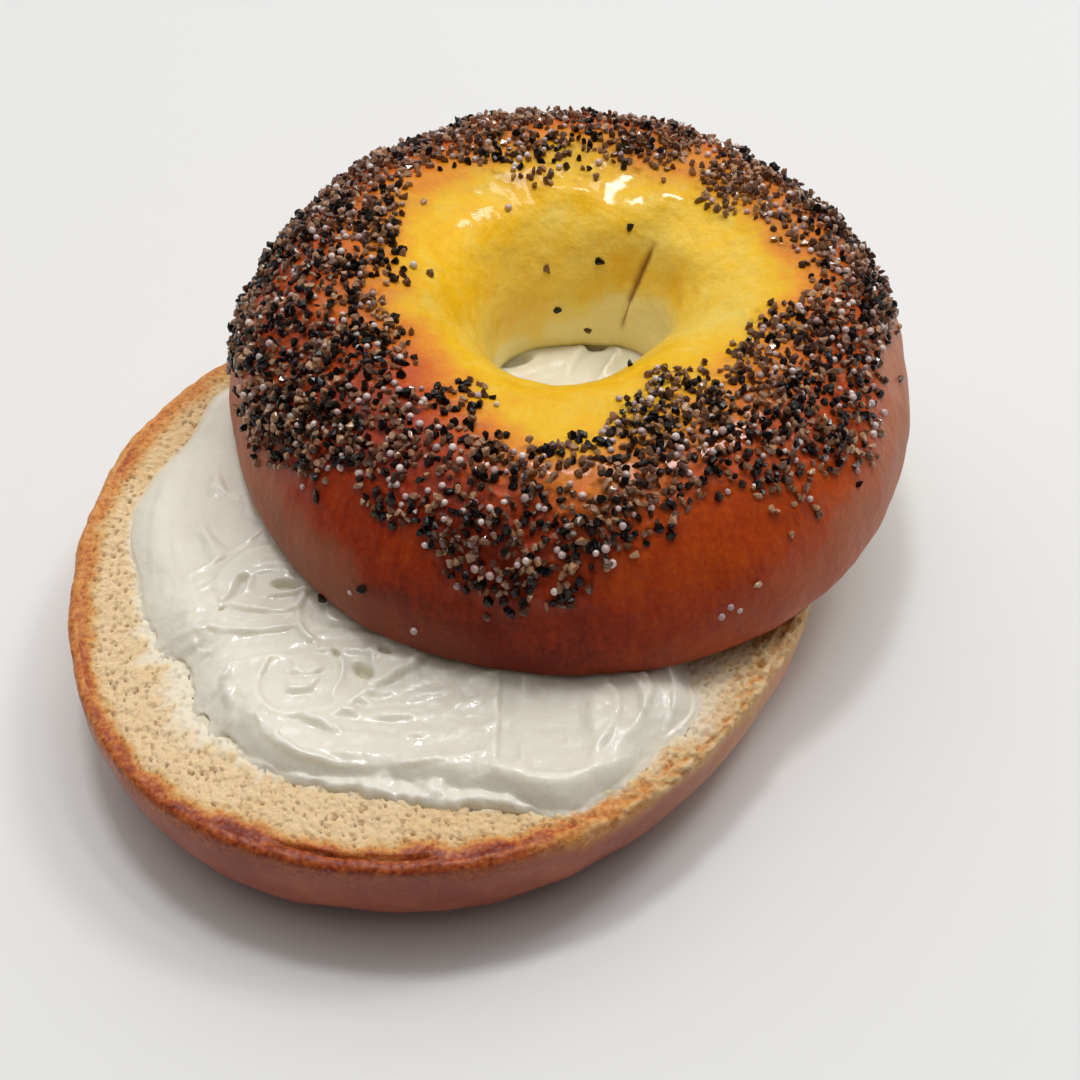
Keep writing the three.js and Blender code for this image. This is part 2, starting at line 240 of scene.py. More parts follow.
def lean_top(points):
    """Takes points from the upper half's own frame to the whole bagel's."""
    lean = TOP_LEAN * DEG
    x = points[..., 0] * math.cos(lean) + points[..., 2] * math.sin(lean) + TOP_CENTRE[0]
    z = points[..., 2] * math.cos(lean) - points[..., 0] * math.sin(lean) + TOP_LIFT
    return np.stack([x, points[..., 1] + TOP_CENTRE[1], z], -1)


# %% Nodes and colours


def srgb(red, green, blue):
    """A screen colour, 0 to 255, as the linear numbers that a shader works with."""
    value = np.array([red, green, blue]) / 255
    linear = np.where(value <= 0.04045, value / 12.92, ((value + 0.055) / 1.055) ** 2.4)
    return (*linear.tolist(), 1.0)


def add(tree, kind, sockets=None, **options):
    """Adds a node. Each socket gets a value, or a link if it is given another node's output."""
    node = tree.nodes.new(kind)
    for name, value in options.items():
        setattr(node, name, value)
    for name, value in (sockets or {}).items():
        if isinstance(value, bpy.types.NodeSocket):
            tree.links.new(value, node.inputs[name])
        else:
            node.inputs[name].default_value = value
    return node


def math_of(tree, operation, first, second, clamp=False):
    return add(tree, "ShaderNodeMath", {0: first, 1: second}, operation=operation, use_clamp=clamp).outputs[0]


def run_of(tree, share, low, high):
    """A number that runs from low to high as the share runs from 0 to 1."""
    return add(tree, "ShaderNodeMapRange", {"Value": share, "To Min": low, "To Max": high}).outputs["Result"]


def new_tree(name, kind, inputs, outputs):
    """A node group with named sockets; inputs and outputs are rows of (label, socket type, value)."""
    tree = bpy.data.node_groups.new(name, kind)
    for rows, direction in ((inputs, "INPUT"), (outputs, "OUTPUT")):
        for label, socket_type, value in rows:
            made = tree.interface.new_socket(label, in_out=direction, socket_type=socket_type)
            if value is not None:
                made.default_value = value
    return tree


print("tools ready; soft noise spans", np.round(np.ptp(lumps(np.random.rand(2000, 3) * 90, 5, 1)), 2))

# %% [markdown]
# ## The form of the upper half
#
# A bagel is a rope of dough joined into a ring. It rises most in the middle of the rope, so its section is
# a dome: steep into the hole, rounder outside, and tucked under where it met the board. One function gives
# a point of that dome for an angle round the ring and a place across it, from 0 at the hole through 1 at
# the crest and 2 at the belly to 3 at the cut. The same function later says where seeds may lie, so the
# seeds always sit on the crust.
#
# The ends of the rope were pinched together before boiling. The pinch shows as a short open seam in the
# wall of the hole.

# %% A point on the upper half
SECTION = 30  # mm along the dome for each step of 1 in the place across it
SEAM = {"angle": 52, "turn": -13, "low": 0.10, "high": 0.54, "width": 2.2, "depth": 0.55}
SEAM_VALLEY = {"width": 9.0, "depth": 1.1}
# Angle, place across, radius and height of soft swellings beside the seam, in mm.
SWELLINGS = [(74, 0.52, 4.5, 0.9), (31, 0.52, 4.5, 0.8), (128, 0.60, 5.0, 0.5)]


def top_edge(angles):
    return TOP_RADIUS * (1 + waves(TOP_LOBES, angles))


def hole_edge(angles):
    return TOP_HOLE["radius"] * (1 + waves(TOP_HOLE["lobes"], angles))


def seam_line(across):
    """The angle of the seam, which leans a little as it climbs."""
    return (SEAM["angle"] + SEAM["turn"] * (across - 0.35)) * DEG


def seam_depth(angles, across):
    along = ease((across - SEAM["low"]) / 0.08) * ease((SEAM["high"] - across) / 0.14)
    off = (angles - seam_line(across)) / DEG
    valley = SEAM_VALLEY["depth"] * np.exp(-((off / SEAM_VALLEY["width"]) ** 2))
    slit = SEAM["depth"] * np.exp(-((off / SEAM["width"]) ** 2)) * along
    return valley * ease((across - 0.1) / 0.3) * ease((1.0 - across) / 0.3) + slit


def spot(angles, across, angle, place, radius, ring):
    """1 at one place of the dome, fading to 0 over a radius in mm; ring is how far out that place lies."""
    turned = (angles - angle * DEG + math.pi) % (2 * math.pi) - math.pi
    return np.exp(-((turned * ring) ** 2 + ((across - place) * SECTION) ** 2) / radius**2)


def swelling(angles, across):
    """How far the pinch has pushed the dough up beside the seam, in mm."""
    ring = TOP_HOLE["radius"] + 8
    return sum(height * spot(angles, across, *place, ring) for *place, height in SWELLINGS)


def top_point(angles, across):
    """Points of the dome in the upper half's own frame, in mm."""
    inside = across < 1
    turn = np.clip(across, 0, 2) * 90 * DEG
    crest = CREST_HEIGHT + waves(CREST_LUMPS, angles)
    funnel = np.clip(1 - np.cos(turn), 0, 1) ** FUNNEL_STEEPNESS
    share = np.where(inside, CREST_SHARE * funnel, mix(CREST_SHARE, 1, -np.cos(turn)))
    height = np.where(inside, crest * np.sin(turn), mix(BELLY_HEIGHT, crest, np.sin(turn)))
    under = np.clip(across - 2, 0, 1) * 90 * DEG
    height = np.where(across > 2, BELLY_HEIGHT * (1 - np.sin(under)), height)
    height = height + swelling(angles, across) * ease(across / 0.3)
    pinch = seam_depth(angles, across) / (TOP_RADIUS - TOP_HOLE["radius"])
    share = share + pinch
    inner_x = TOP_HOLE["centre"][0] + hole_edge(angles) * np.cos(angles)
    inner_y = TOP_HOLE["centre"][1] + hole_edge(angles) * np.sin(angles)
    outer = top_edge(angles) - BELLY_OVERHANG * (1 - np.cos(under))
    x = mix(inner_x, outer * np.cos(angles), share)
    y = mix(inner_y, outer * np.sin(angles), share)
    return np.stack([x, y, height], -1)


crest_heights = top_point(np.radians(np.arange(0, 360, 5.0)), np.ones(72))[:, 2]
print(f"crest stands {crest_heights.min():.1f} to {crest_heights.max():.1f} mm high")

# %% [markdown]
# ## The crust of the upper half
#
# The crust is a skin 1.6 mm thick, so it is made as a closed shell: the outer face in fine steps, the
# inner face in a few. Fine steps matter, because the dents, the seam and the small ripples are real shape
# here and not only shading.
#
# Baking colours a crust by how far it stands out into the heat. Dough in the hole stays pale, the funnel
# turns yellow under its egg wash, and the outer dome goes red-brown. That can't be one stripe: where the
# tray was hotter the brown reaches further in. So a table gives, for a few angles, how far each zone
# reaches along the section, and every point gets one number for its baking, from 0 raw to 1 darkest.

# %% Baking zones
# Angle, then the millimetres from the hole at which the pale dough ends, the yellow ends, the brown is
# full, and the outer painted sheen starts; then how strong that sheen is and how dark the brown gets. The
# sheen is a pale pink painted on the sides: painted light, for light glancing off the glaze there.
BAKING = [
    (0, 13, 31, 44, 46, 1.00, 0.66), (15, 13, 31, 46, 42, 0.95, 0.62), (40, 12, 31, 48, 40, 0.60, 0.66),
    (75, 9, 31, 46, 44, 0.50, 0.72), (97, 8, 34, 48, 46, 0.50, 0.74), (120, 5, 32, 48, 46, 0.55, 0.74),
    (150, 3, 31, 46, 50, 0.65, 0.74), (178, 3, 30, 46, 51, 0.85, 0.76), (203, 5, 28, 44, 52, 0.85, 0.80),
    (225, 6, 26, 40, 57, 0.55, 0.88), (248, 6, 32, 46, 64, 0.25, 0.88), (261, 6, 39, 54, 68, 0.10, 0.88),
    (279, 6, 38, 55, 68, 0.15, 0.80), (300, 6, 34, 54, 62, 0.30, 0.78), (322, 8, 32, 50, 56, 0.60, 0.74),
    (345, 13, 31, 44, 48, 1.00, 0.70),
]


def baking(angles, reach, points):
    """How far each point of the crust is baked, from 0 raw to 1 darkest, and how strong its painted sheen is.
    """
    ragged = reach + 1.6 * lumps(points, 9, 5, 3) + 0.7 * lumps(points, 2.5, 9, 2)
    pale, yellow, brown, bloom, strength, darkest = (round_curve(BAKING, angles, c) for c in range(1, 7))
    bake = 0.20 * ease((ragged + 1.8 * lumps(points, 6, 6, 2) - pale + 4) / 7)
    bake = bake + 0.08 * ease((ragged - pale - 8) / 12)
    bake = bake + 0.17 * ease((ragged - yellow + 3) / 7)
    bake = bake + (darkest - 0.45) * ease((ragged - yellow - 1) / (brown - yellow))
    bake = bake + 0.12 * ease((ragged - 56) / 12) * ease((darkest - 0.74) / 0.10)
    return bake, strength * ease((ragged - bloom + 2) / 8)


# %% Make the crust
CRUST_COLUMNS = [32.0, (66.0, 110), (392.0, 450)]
CRUST_ROWS = {"inner": 58, "outer": 68, "under": 8, "lining": 8}
RIPPLES_ROUND = 3 * NOISE_CELLS  # whole rounds of the noise, so that they meet after one turn
BRUSH_MARKS_ROUND = NOISE_CELLS


def top_crust():
    angles = np.radians(uneven(CRUST_COLUMNS)[:-1])
    across = np.concatenate([
        np.linspace(0, 1, CRUST_ROWS["inner"], endpoint=False),
        np.linspace(1, 2, CRUST_ROWS["outer"], endpoint=False),
        np.linspace(2, 3, CRUST_ROWS["under"]),
    ])
    theta, t = np.meshgrid(angles, across, indexing="ij")
    outer = top_point(theta, t)
    step_on = top_point(theta, np.clip(t + 0.01, 0, 3)) - top_point(theta, np.clip(t - 0.01, 0, 3))
    step_round = top_point(theta + 0.01, t) - top_point(theta - 0.01, t)
    outward = np.cross(step_on, step_round)
    outward /= np.linalg.norm(outward, axis=-1, keepdims=True)
    reach = np.concatenate([
        np.zeros((len(angles), 1)),
        np.cumsum(np.linalg.norm(np.diff(outer, axis=1), axis=-1), axis=1),
    ], axis=1)
    edge_hold = ease(t / 0.15) * ease((3 - t) / 0.5)
    relief = 0.35 * lumps(outer, 17, 21, 2) + 0.08 * lumps(outer, 4, 23, 2)
    relief += (0.28 * lumps(outer, 8, 27, 2) + 0.035 * lumps(outer, 2.2, 28, 2)) * ease((1.15 - t) / 0.3)
    ripple = on_sheet(theta / (2 * math.pi) * RIPPLES_ROUND, reach / 6)
    relief += 0.03 * lumps(ripple, 1, 25, 2) * ease((t - 0.8) / 0.3)
    brushed = on_sheet(theta / (2 * math.pi) * BRUSH_MARKS_ROUND, reach)
    relief += 0.035 * lumps(brushed, 1, 32, 2) * ease((t - 0.3) / 0.2) * ease((1.2 - t) / 0.3)
    outer = outer + outward * (relief * edge_hold)[..., None]

    lining_at = np.linspace(3, 0, CRUST_ROWS["lining"])
    theta_in, t_in = np.meshgrid(angles, lining_at, indexing="ij")
    lining = top_point(theta_in, t_in)
    halfway = mix(hole_edge(theta_in), top_edge(theta_in), 0.5)
    middle_x = 0.5 * TOP_HOLE["centre"][0] + halfway * np.cos(theta_in)
    middle_y = 0.5 * TOP_HOLE["centre"][1] + halfway * np.sin(theta_in)
    inward = on_sheet(middle_x, middle_y) - lining
    inward[..., 2] *= (lining[..., 2] > 1).astype(float)
    inward /= np.linalg.norm(inward, axis=-1, keepdims=True)
    lining = lining + inward * CRUST_THICK

    points = lean_top(np.concatenate([outer, lining], axis=1))
    piece = new_piece("top_crust", points, sheet_faces(*points.shape[:2]))
    bake, bloom = baking(theta, reach, outer)
    off_seam = (theta - seam_line(t)) / DEG / (1.6 + 0.5 * lumps(outer, 1.5, 30))
    slit = np.exp(-(off_seam**2)) * ease((t - 0.08) / 0.08) * ease((SEAM["high"] - t) / 0.10)
    # painted light: marks the back wall of the funnel, which faces away from the lamps, for a brighter colour
    funnel = ease((0.95 - t) / 0.3) * ease((np.sin(theta) + 0.35) / 0.8)
    wash = ease((1.72 - t + 0.08 * lumps(outer, 6, 29, 2)) / 0.3)
    skin = np.stack([45 * np.cos(theta), 45 * np.sin(theta), 0.22 * reach], -1)
    paint_vector(piece, "skin", np.concatenate([skin, lining], axis=1) * MM)
    marks = {
        "bake": bake, "bloom": bloom, "slit": slit, "funnel": funnel, "wash": wash,
        "seed_cover": seed_cover(theta, t, outer), "seed_heap": seed_heap(theta, t, outer),
        "few_black": few_black(theta, t, outer),
    }
    fill = np.zeros((len(angles), CRUST_ROWS["lining"]))
    paint(piece, {name: np.concatenate([values, fill], axis=1) for name, values in marks.items()})
    return piece, reach[:, -1].mean()


# %% [markdown]
# ## Where the seeds lie
#
# The ring was pressed upside down into a tray of seeds after its egg wash, so they stick in a band just
# outside the crest, thick in some places and thin in others. The band is again a short table round the
# ring. Soft noise breaks it into clumps, and a second, narrower map marks the places where seeds lie on
# seeds.

# %% The band of seeds
# Angle, then where the band begins and ends across the dome, and how thickly the seeds lie there.
SEED_BAND = [
    (0, 0.98, 1.58, 1.0), (15, 0.95, 1.68, 1.0), (30, 0.84, 1.60, 0.9), (45, 0.84, 1.60, 1.0),
    (60, 0.86, 1.60, 1.0), (75, 0.86, 1.60, 0.9), (90, 0.84, 1.55, 0.75), (105, 0.80, 1.60, 1.0),
    (120, 0.88, 1.55, 0.9), (135, 0.98, 1.58, 1.0), (150, 0.92, 1.64, 1.0), (165, 0.82, 1.72, 1.0),
    (180, 0.86, 1.80, 0.9), (195, 0.88, 1.64, 0.95), (210, 0.90, 1.66, 1.0), (225, 0.98, 1.58, 1.0),
    (240, 0.86, 1.52, 0.85), (255, 0.99, 1.78, 1.0), (270, 0.97, 1.70, 1.0), (285, 0.87, 1.42, 1.0),
    (300, 0.70, 1.44, 1.0), (315, 0.85, 1.55, 1.0), (330, 0.87, 1.60, 1.0), (345, 0.80, 1.42, 1.0),
]


# Dense heaps, mostly of black seeds: angle, place across the dome, radius in mm.
HEAPS = [
    (195, 1.25, 5.0), (229, 1.50, 4.5), (245, 1.46, 4.0), (259, 1.44, 6.0), (275, 1.58, 3.5),
    (292, 1.36, 4.0), (294, 0.98, 4.0), (308, 1.22, 5.0), (334, 1.38, 4.5), (346, 1.18, 4.0),
]
BAND_RING = 38  # mm from the hole's middle at which the band lies


def heaped(angles, across):
    return np.clip(sum(spot(angles, across, *heap, BAND_RING) for heap in HEAPS), 0, 1)


def seed_band(angles, across, points, inset):
    begins, ends, share = (round_curve(SEED_BAND, angles, column) for column in (1, 2, 3))
    ragged = across + 0.07 * lumps(points, 8, 41, 2)
    return share * ease((ragged - begins - inset) / 0.14 + 0.5) * ease((ends - inset - ragged) / 0.16 + 0.5)


def seed_cover(angles, across, points):
    clumps = ease(lumps(points, 4.0, 43, 2) * 1.5 + 1.15)
    cover = np.maximum(0.58 + 0.42 * clumps, heaped(angles, across))
    return np.clip(seed_band(angles, across, points, 0.0) * cover + 0.002, 0, 1)


def seed_heap(angles, across, points):
    clumps = ease(lumps(points, 3.4, 47, 2) * 1.8 + 0.45)
    heap = np.maximum(clumps, heaped(angles, across))
    return seed_band(angles, across, points, 0.05) ** 2 * heap


def few_black(angles, across, points):
    """How much the black seeds give way to brown ones: most at the back, least in the heaps.

    The extra brown at the back is partly painted light: paler seeds where light glances from behind.
    """
    few = 0.22 + 0.15 * np.cos(angles - 75 * DEG) + 0.22 * lumps(points, 7, 49, 2)
    return np.clip(few - 0.65 * heaped(angles, across), -0.45, 0.5)


crust, section_length = top_crust()
print(f"upper crust: {triangles(crust)} triangles; the section is {section_length:.1f} mm long")

# %% [markdown]
# ## The cut faces
#
# Cut bread shows its crumb: a soft face full of small holes where gas was. Here the holes are small and
# even. They could be a bump in the material, but a low sun or a close look would give that away, so each
# hole is a real pit in the mesh. The pits lie on a square grid that is shaken at random, which keeps them
# apart and still looks loose. The grid of points is fine where the crumb shows and coarse where the cheese
# covers it.

# %% Pits
PIT_STEP = 0.92
PIT_CELLS = 128  # the pits come round again after this many steps
PIT_RADIUS = (0.10, 0.27)
PIT_DEPTH = (0.20, 0.80)


def pits(x, y, step, seed):
    """Depth of the pits at places on a cut face, in mm, and how much painted shade they get, from 0 to 1."""
    draw = np.random.default_rng(seed)
    cells = (PIT_CELLS, PIT_CELLS)
    shake = draw.uniform(-0.42, 0.42, (*cells, 2))
    stretch = draw.uniform(1.0, 1.7, cells)
    turn = draw.uniform(0, math.pi, cells)
    size = draw.random(cells) ** 1.5
    radius = mix(*PIT_RADIUS, size)
    depth = mix(*PIT_DEPTH, size) * (draw.random(cells) < 0.85)
    cell_x = np.floor(x / step).astype(int)
    cell_y = np.floor(y / step).astype(int)
    deepest = np.zeros_like(x)
    for i in (-1, 0, 1):
        for j in (-1, 0, 1):
            a = (cell_x + i) % PIT_CELLS
            b = (cell_y + j) % PIT_CELLS
            dx = x - (cell_x + i + 0.5 + shake[a, b, 0]) * step
            dy = y - (cell_y + j + 0.5 + shake[a, b, 1]) * step
            on = dx * np.cos(turn[a, b]) + dy * np.sin(turn[a, b])
            beside = dy * np.cos(turn[a, b]) - dx * np.sin(turn[a, b])
            off = np.hypot(on / stretch[a, b], beside * stretch[a, b]) / radius[a, b]
            deepest = np.maximum(deepest, depth[a, b] * (1 - ease(off - 0.35)))
    return deepest, np.clip(deepest / PIT_DEPTH[1], 0, 1)


# %% [markdown]
# ## The lower half
#
# The lower half is one closed piece: the cut face, the soft rim where the knife came out, the wall that
# curves in to a flat base, and the hole. Crumb and crust are the same dough, so there is no seam between
# them. Numbers painted on the mesh say what a place is: how toasted it is, how far it is crust, and how
# thickly the knife has smeared it. Where the toaster browned the rim most, the crumb has melted smooth. At
# the front the crust has parted from the crumb in a thin crack, and at the right the rim has torn.

# %% Make the lower half
LOW_SECTORS = [128.0, (350.0, 660), (488.0, 98)]
LOW_ROWS = {"rim": 9, "wall": 22, "base": 3, "hole": 9}
FACE_PLACES = uneven([0.0, (0.52, 12), (1.0, 74)])
CRACK = {"angle": 262, "half": 13, "inset": 2.2, "depth": 1.4, "width": 0.22}
WALL_DARKEST = 260  # the angle at which the wall is darkest; away from there it turns a lighter tan, painted light for the sides, which catch more light and sheen than the front
# Angle, then how wide the toasted band along the rim is in mm, how dark it gets at the rim, and how torn
# the rim is.
TOAST = [
    (10, 7, 0.36, 1.0), (60, 5, 0.70, 0.4), (120, 5, 0.64, 0.2), (150, 4.6, 0.58, 0.1), (185, 3.8, 0.66, 0.2),
    (210, 3.2, 0.74, 0.2), (232, 3.3, 0.84, 0.1), (250, 4.6, 0.90, 0.0), (270, 4.8, 0.90, 0.0),
    (285, 3.8, 0.80, 0.2), (300, 3.2, 0.54, 0.7), (318, 3.2, 0.34, 1.0), (332, 4.2, 0.32, 1.0),
    (345, 5.6, 0.32, 1.0),
]
# Angle, then how many mm beyond the cheese the knife has smeared a film of it, and how thick that film is.
SMEAR = [
    (0, 6, 0.6), (60, 1, 0.4), (170, 1, 0.7), (192, 1.8, 0.9), (205, 4.0, 1.2), (216, 5.5, 1.3),
    (228, 4.6, 1.3), (240, 2.6, 0.9), (258, 1.2, 0.5), (285, 1.0, 0.4), (300, 1.6, 0.5), (312, 2.6, 0.7),
    (322, 5.0, 0.8), (332, 8.0, 0.8), (345, 8.0, 0.6),
]


def bottom_edge(angles):
    return round_curve(BOTTOM_EDGE, angles)


def degrees_off(angles, middle):
    """How many degrees each angle lies to either side of the middle."""
    return np.abs((angles / DEG - middle + 180) % 360 - 180)


def low_rings(angles):
    """Points of the plain lower half, column by column, the way out of the surface, and each row's part."""
    column = angles[:, None]
    edge = bottom_edge(column)
    wall = BOTTOM_HEIGHT - RIM_ROUND
    out = np.stack([np.cos(column), np.sin(column), 0 * column], -1)
    up = np.array([0.0, 0.0, 1.0])

    def on_edge(inset, z):
        return out * (edge - inset)[..., None] + up * np.broadcast_to(z, (len(angles), len(inset)))[..., None]

    def on_hole(outset, z):
        middle = np.array([*BOTTOM_HOLE["centre"], 0.0])
        return middle + out * (BOTTOM_HOLE["radius"] + outset)[None, :, None] + up * z[None, :, None]

    def quarter(part):
        return np.linspace(0, 90 * DEG, LOW_ROWS[part] + 1)[1:]

    lip = on_hole(np.array([RIM_ROUND / 2]), np.array([BOTTOM_HEIGHT]))
    brim = on_edge(np.array([RIM_ROUND]), np.array([BOTTOM_HEIGHT]))
    face = mix(lip, brim, FACE_PLACES[None, :, None])
    t = quarter("rim")
    rim = on_edge(RIM_ROUND * (1 - np.sin(t)), BOTTOM_HEIGHT - RIM_ROUND * (1 - np.cos(t)))
    rim_out = out * np.sin(t)[None, :, None] + up * np.cos(t)[None, :, None]
    t = quarter("wall")
    side = on_edge(BOTTOM_UNDERCUT * (1 - np.cos(t)), wall * (1 - np.sin(t)))
    foot = on_hole(np.array([BOTTOM_HOLE["flare"]]), np.zeros(1))
    base = mix(side[:, -1:], foot, np.linspace(0, 1, LOW_ROWS["base"] + 1)[1:][None, :, None])
    t = quarter("hole")
    bore = on_hole(BOTTOM_HOLE["flare"] * (1 - np.sin(t)), wall * (1 - np.cos(t)))
    rows = [face.shape[1], rim.shape[1], side.shape[1], base.shape[1] + bore.shape[1]]
    ways = [np.broadcast_to(up, face.shape), rim_out, np.broadcast_to(out, side.shape)]
    ways.append(np.zeros((len(angles), rows[3], 3)))
    return np.concatenate([face, rim, side, base, bore], axis=1), np.concatenate(ways, axis=1), rows


def bottom_half():
    angles = np.radians(uneven(LOW_SECTORS)[:-1])
    points, ways, rows = low_rings(angles)
    theta = np.broadcast_to(angles[:, None], points.shape[:2])
    steps = np.linalg.norm(np.diff(points, axis=1), axis=-1)
    past = np.concatenate([np.zeros((len(angles), 1)), np.cumsum(steps, axis=1)], axis=1)
    past = past - past[:, rows[0] - 1 : rows[0]]  # mm past the start of the rim; less than 0 on the face
    on_face = np.arange(points.shape[1])[None, :] < rows[0]
    from_hole = ease((past - past[:, :1]) / 2)

    band, darkest, torn = (round_curve(TOAST, theta, column) for column in (1, 2, 3))
    torn = torn * ease((past + 4.6) / 2.6) * ease((3.2 - past) / 2)
    shreds = lumps(on_sheet(theta * 50 / 1.2, past / 0.7), 1.0, 74, 2)
    toast = darkest * (1 - ease((-past - 0.10 * band + 0.55 * lumps(points, 4, 77, 3)) / (0.90 * band)))
    # painted light and shade: the torn shreds are painted lighter on their raised tops and darker in the
    # crevices
    toast = toast + 0.14 * ease(lumps(points, 8, 78, 3) + 0.2) * (past < 0) - 0.24 * torn * shreds
    melted = ease((toast - 0.50) / 0.3) * (1 - torn)

    depth, pit_shade = pits(points[..., 0], points[..., 1], PIT_STEP, 71)
    pitted = on_face * from_hole * ease((0.2 - past) / 1.2) * (1 - 0.85 * melted)
    relief = 0.22 * lumps(points, 9, 73, 2) * from_hole * ease((6 - past) / 4)
    relief += 0.20 * lumps(points, 0.9, 75, 3) * from_hole * ease((1 - past) / 2) * (1 - 0.6 * melted)
    relief += 0.10 * lumps(points, 1.8, 76, 2) * ease((past + 3) / 3) * ease((4 - past) / 3)
    relief += 0.42 * torn * shreds
    wall = ease((past - 1) / 3) * ease((24 - past) / 6)
    relief += (0.30 * lumps(points, 13, 81, 2) + 0.08 * lumps(points, 3, 83, 2)) * wall
    off = degrees_off(theta, CRACK["angle"])
    wander = -past + RIM_ROUND - CRACK["inset"] + 0.2 * lumps(points, 5, 79)
    crack = ease((CRACK["half"] - off) / 5) * np.exp(-((wander / CRACK["width"]) ** 2)) * (past < 0)
    relief += -depth * pitted - CRACK["depth"] * crack

    beyond = np.hypot(points[..., 0], points[..., 1]) - round_curve(SPREAD_EDGE, theta)
    reach, strength = (round_curve(SMEAR, theta, column) for column in (1, 2))
    ragged = reach * (1 + 0.55 * lumps(on_sheet(theta * 40 / 1.1, beyond / 5), 1.0, 97, 2))
    smear = np.clip(strength * (1 - ease((beyond + 0.5) / np.maximum(ragged, 0.3))), 0, 1) * on_face

    points = points + ways * relief[..., None] + np.array([*BOTTOM_CENTRE, 0.0])
    piece = new_piece("bottom_half_bread", points, sheet_faces(*points.shape[:2]))
    paint(piece, {
        # painted shade: the pits and the crack are marked to be painted darker, as shade falls in them
        "pit": np.maximum(pit_shade * pitted, crack), "toast": toast, "melted": melted,
        "crust": ease((past - 1.2 + 1.2 * lumps(points, 5, 87, 3)) / 4.0), "smear": smear,
        "tan": ease((degrees_off(theta, WALL_DARKEST) - 36) / 42),
    })
    return piece


low_half = bottom_half()
print("lower half:", triangles(low_half), "triangles")

# %% [markdown]
# ## The soft cheese
#
# Soft cheese keeps every mark of the knife. Each stroke ploughs a trough, pushes up a lip on both sides and
# wipes out what earlier strokes left in its way. That is how the mesh is made too: the strokes are laid one
# after another, and where a new one passes, it replaces the height that was there. Its lips come and go
# along the way, and fine lines run along its floor, left by the knife's edge. Where the upper half lies on
# it, the cheese is pressed flat, and it stands a little proud just outside.
#
# Each stroke is a start, a point that it passes, an end, its width, its depth and the height of its lips to
# the left and to the right. A negative depth heaps the cheese up.

# %% The strokes, in mm from the lower half's middle
SPREAD_FLOOR = 17.3
SPREAD_DEPTH = 2.9
STROKES = [
    ((-36, 24), (-39.5, 8), (-37, -12), 8.0, 0.35, 0.10, 0.10),
    ((-31, 22), (-34.5, 6), (-31, -9), 7.0, 0.60, 0.25, 0.12),
    ((-29.5, 18), (-28.6, 14), (-27, 9.5), 3.6, 0.60, 0.22, 0.10),
    ((-29, 8.5), (-28.4, 3.5), (-24.5, -0.5), 6.5, 0.55, 0.12, 0.18),
    ((-21.5, 0.5), (-25.5, -3.8), (-31.5, -8.5), 3.2, 0.55, 0.45, 0.35),
    ((-26, -9.5), (-23.5, -4.6), (-17.5, -4.4), 5.0, -0.45, 0.05, 0.10),
    ((-21, -11.8), (-17, -11.5), (-12.5, -9.6), 2.4, 0.30, 0.75, 0.20),
    ((-24.4, -7.3), (-25.3, -10.3), (-27, -12.7), 1.3, 0.90, 0.15, 0.12),
    ((-29.5, -13), (-22, -15.9), (-13.5, -14.2), 5.0, 0.50, 0.45, 0.55),
    ((-29, -17.5), (-22, -18.6), (-14.5, -16.5), 3.0, 0.60, 0.60, 0.50),
    ((-26, -31), (-27, -22), (-16, -18.8), 4.6, 0.70, 0.35, 0.60),
    ((-16, -19.2), (-8.6, -21), (-9.4, -27.8), 3.6, 0.50, 0.40, 0.25),
    ((-17.8, -22.2), (-18, -28.4), (-11.6, -27.8), 3.4, 0.55, 0.35, 0.30),
    ((-14.8, -20.6), (-11.4, -22.8), (-12.6, -27.4), 2.6, 0.40, 0.25, 0.35),
    ((-17.6, -24.2), (-15.2, -24.9), (-12.4, -24.3), 1.2, 0.35, 0.28, 0.10),
    ((-14.2, -10.5), (-13.2, -16.8), (-5.5, -17.2), 3.4, 0.70, 0.60, 0.70),
    ((-13.5, -19), (-8, -18.8), (-1.5, -21), 2.6, 0.50, 0.50, 0.60),
    ((-6.5, -28.8), (0, -25.6), (5, -18.5), 5.0, 0.80, 0.75, 0.40),
    ((-7, -29.6), (1, -27.6), (8.5, -22), 4.0, 0.80, 0.60, 0.45),
    ((-8, -30.6), (1, -30.2), (9.6, -26), 4.0, 0.75, 0.60, 0.40),
    ((-10, -32.6), (0, -33.2), (9.8, -30), 4.4, 0.75, 0.55, 0.40),
    ((-16, -33), (-6, -36.4), (8, -35), 4.4, 0.75, 0.50, 0.45),
    ((-22, -32), (-12, -39.8), (9, -38.6), 3.2, 0.30, 0.35, 0.75),
    ((12.0, -24), (12.1, -32), (11.9, -38.2), 3.2, 0.95, 0.45, 0.15),
    ((21, -22), (17.4, -31), (20, -40), 10.0, 0.60, 0.30, 0.25),
    ((23.5, -22), (27.6, -29), (24, -38), 3.2, 0.55, 0.60, 0.30),
    ((29.5, -21.5), (31.6, -28), (26.5, -37), 3.0, 0.85, 0.75, 0.35),
    ((10.5, -40.4), (19, -42), (28, -38), 3.4, -0.30, 0.10, 0.15),
    ((21, 26), (22.2, 33), (25.6, 40), 4.6, 0.70, 0.20, 0.95),
    ((10, 30), (15, 32), (20, 34), 5.0, 0.35, 0.30, 0.25),
]
# Small pockets that the knife left open: x, y, length, width, direction in degrees, depth.
POCKETS = [
    (12.2, 37.2, 6.5, 3.0, 20, 1.3), (24.0, 41.2, 5.5, 3.2, -8, 1.9),
    (-18.6, -8.6, 4.6, 2.0, -8, 1.5), (-7.2, -23.6, 4.4, 2.2, -40, 1.5), (-4.6, -20.0, 2.6, 1.5, -25, 1.0),
    (-11.0, -20.6, 2.0, 1.2, -60, 0.8), (-26.9, -12.8, 1.3, 0.8, 40, 0.8),
]
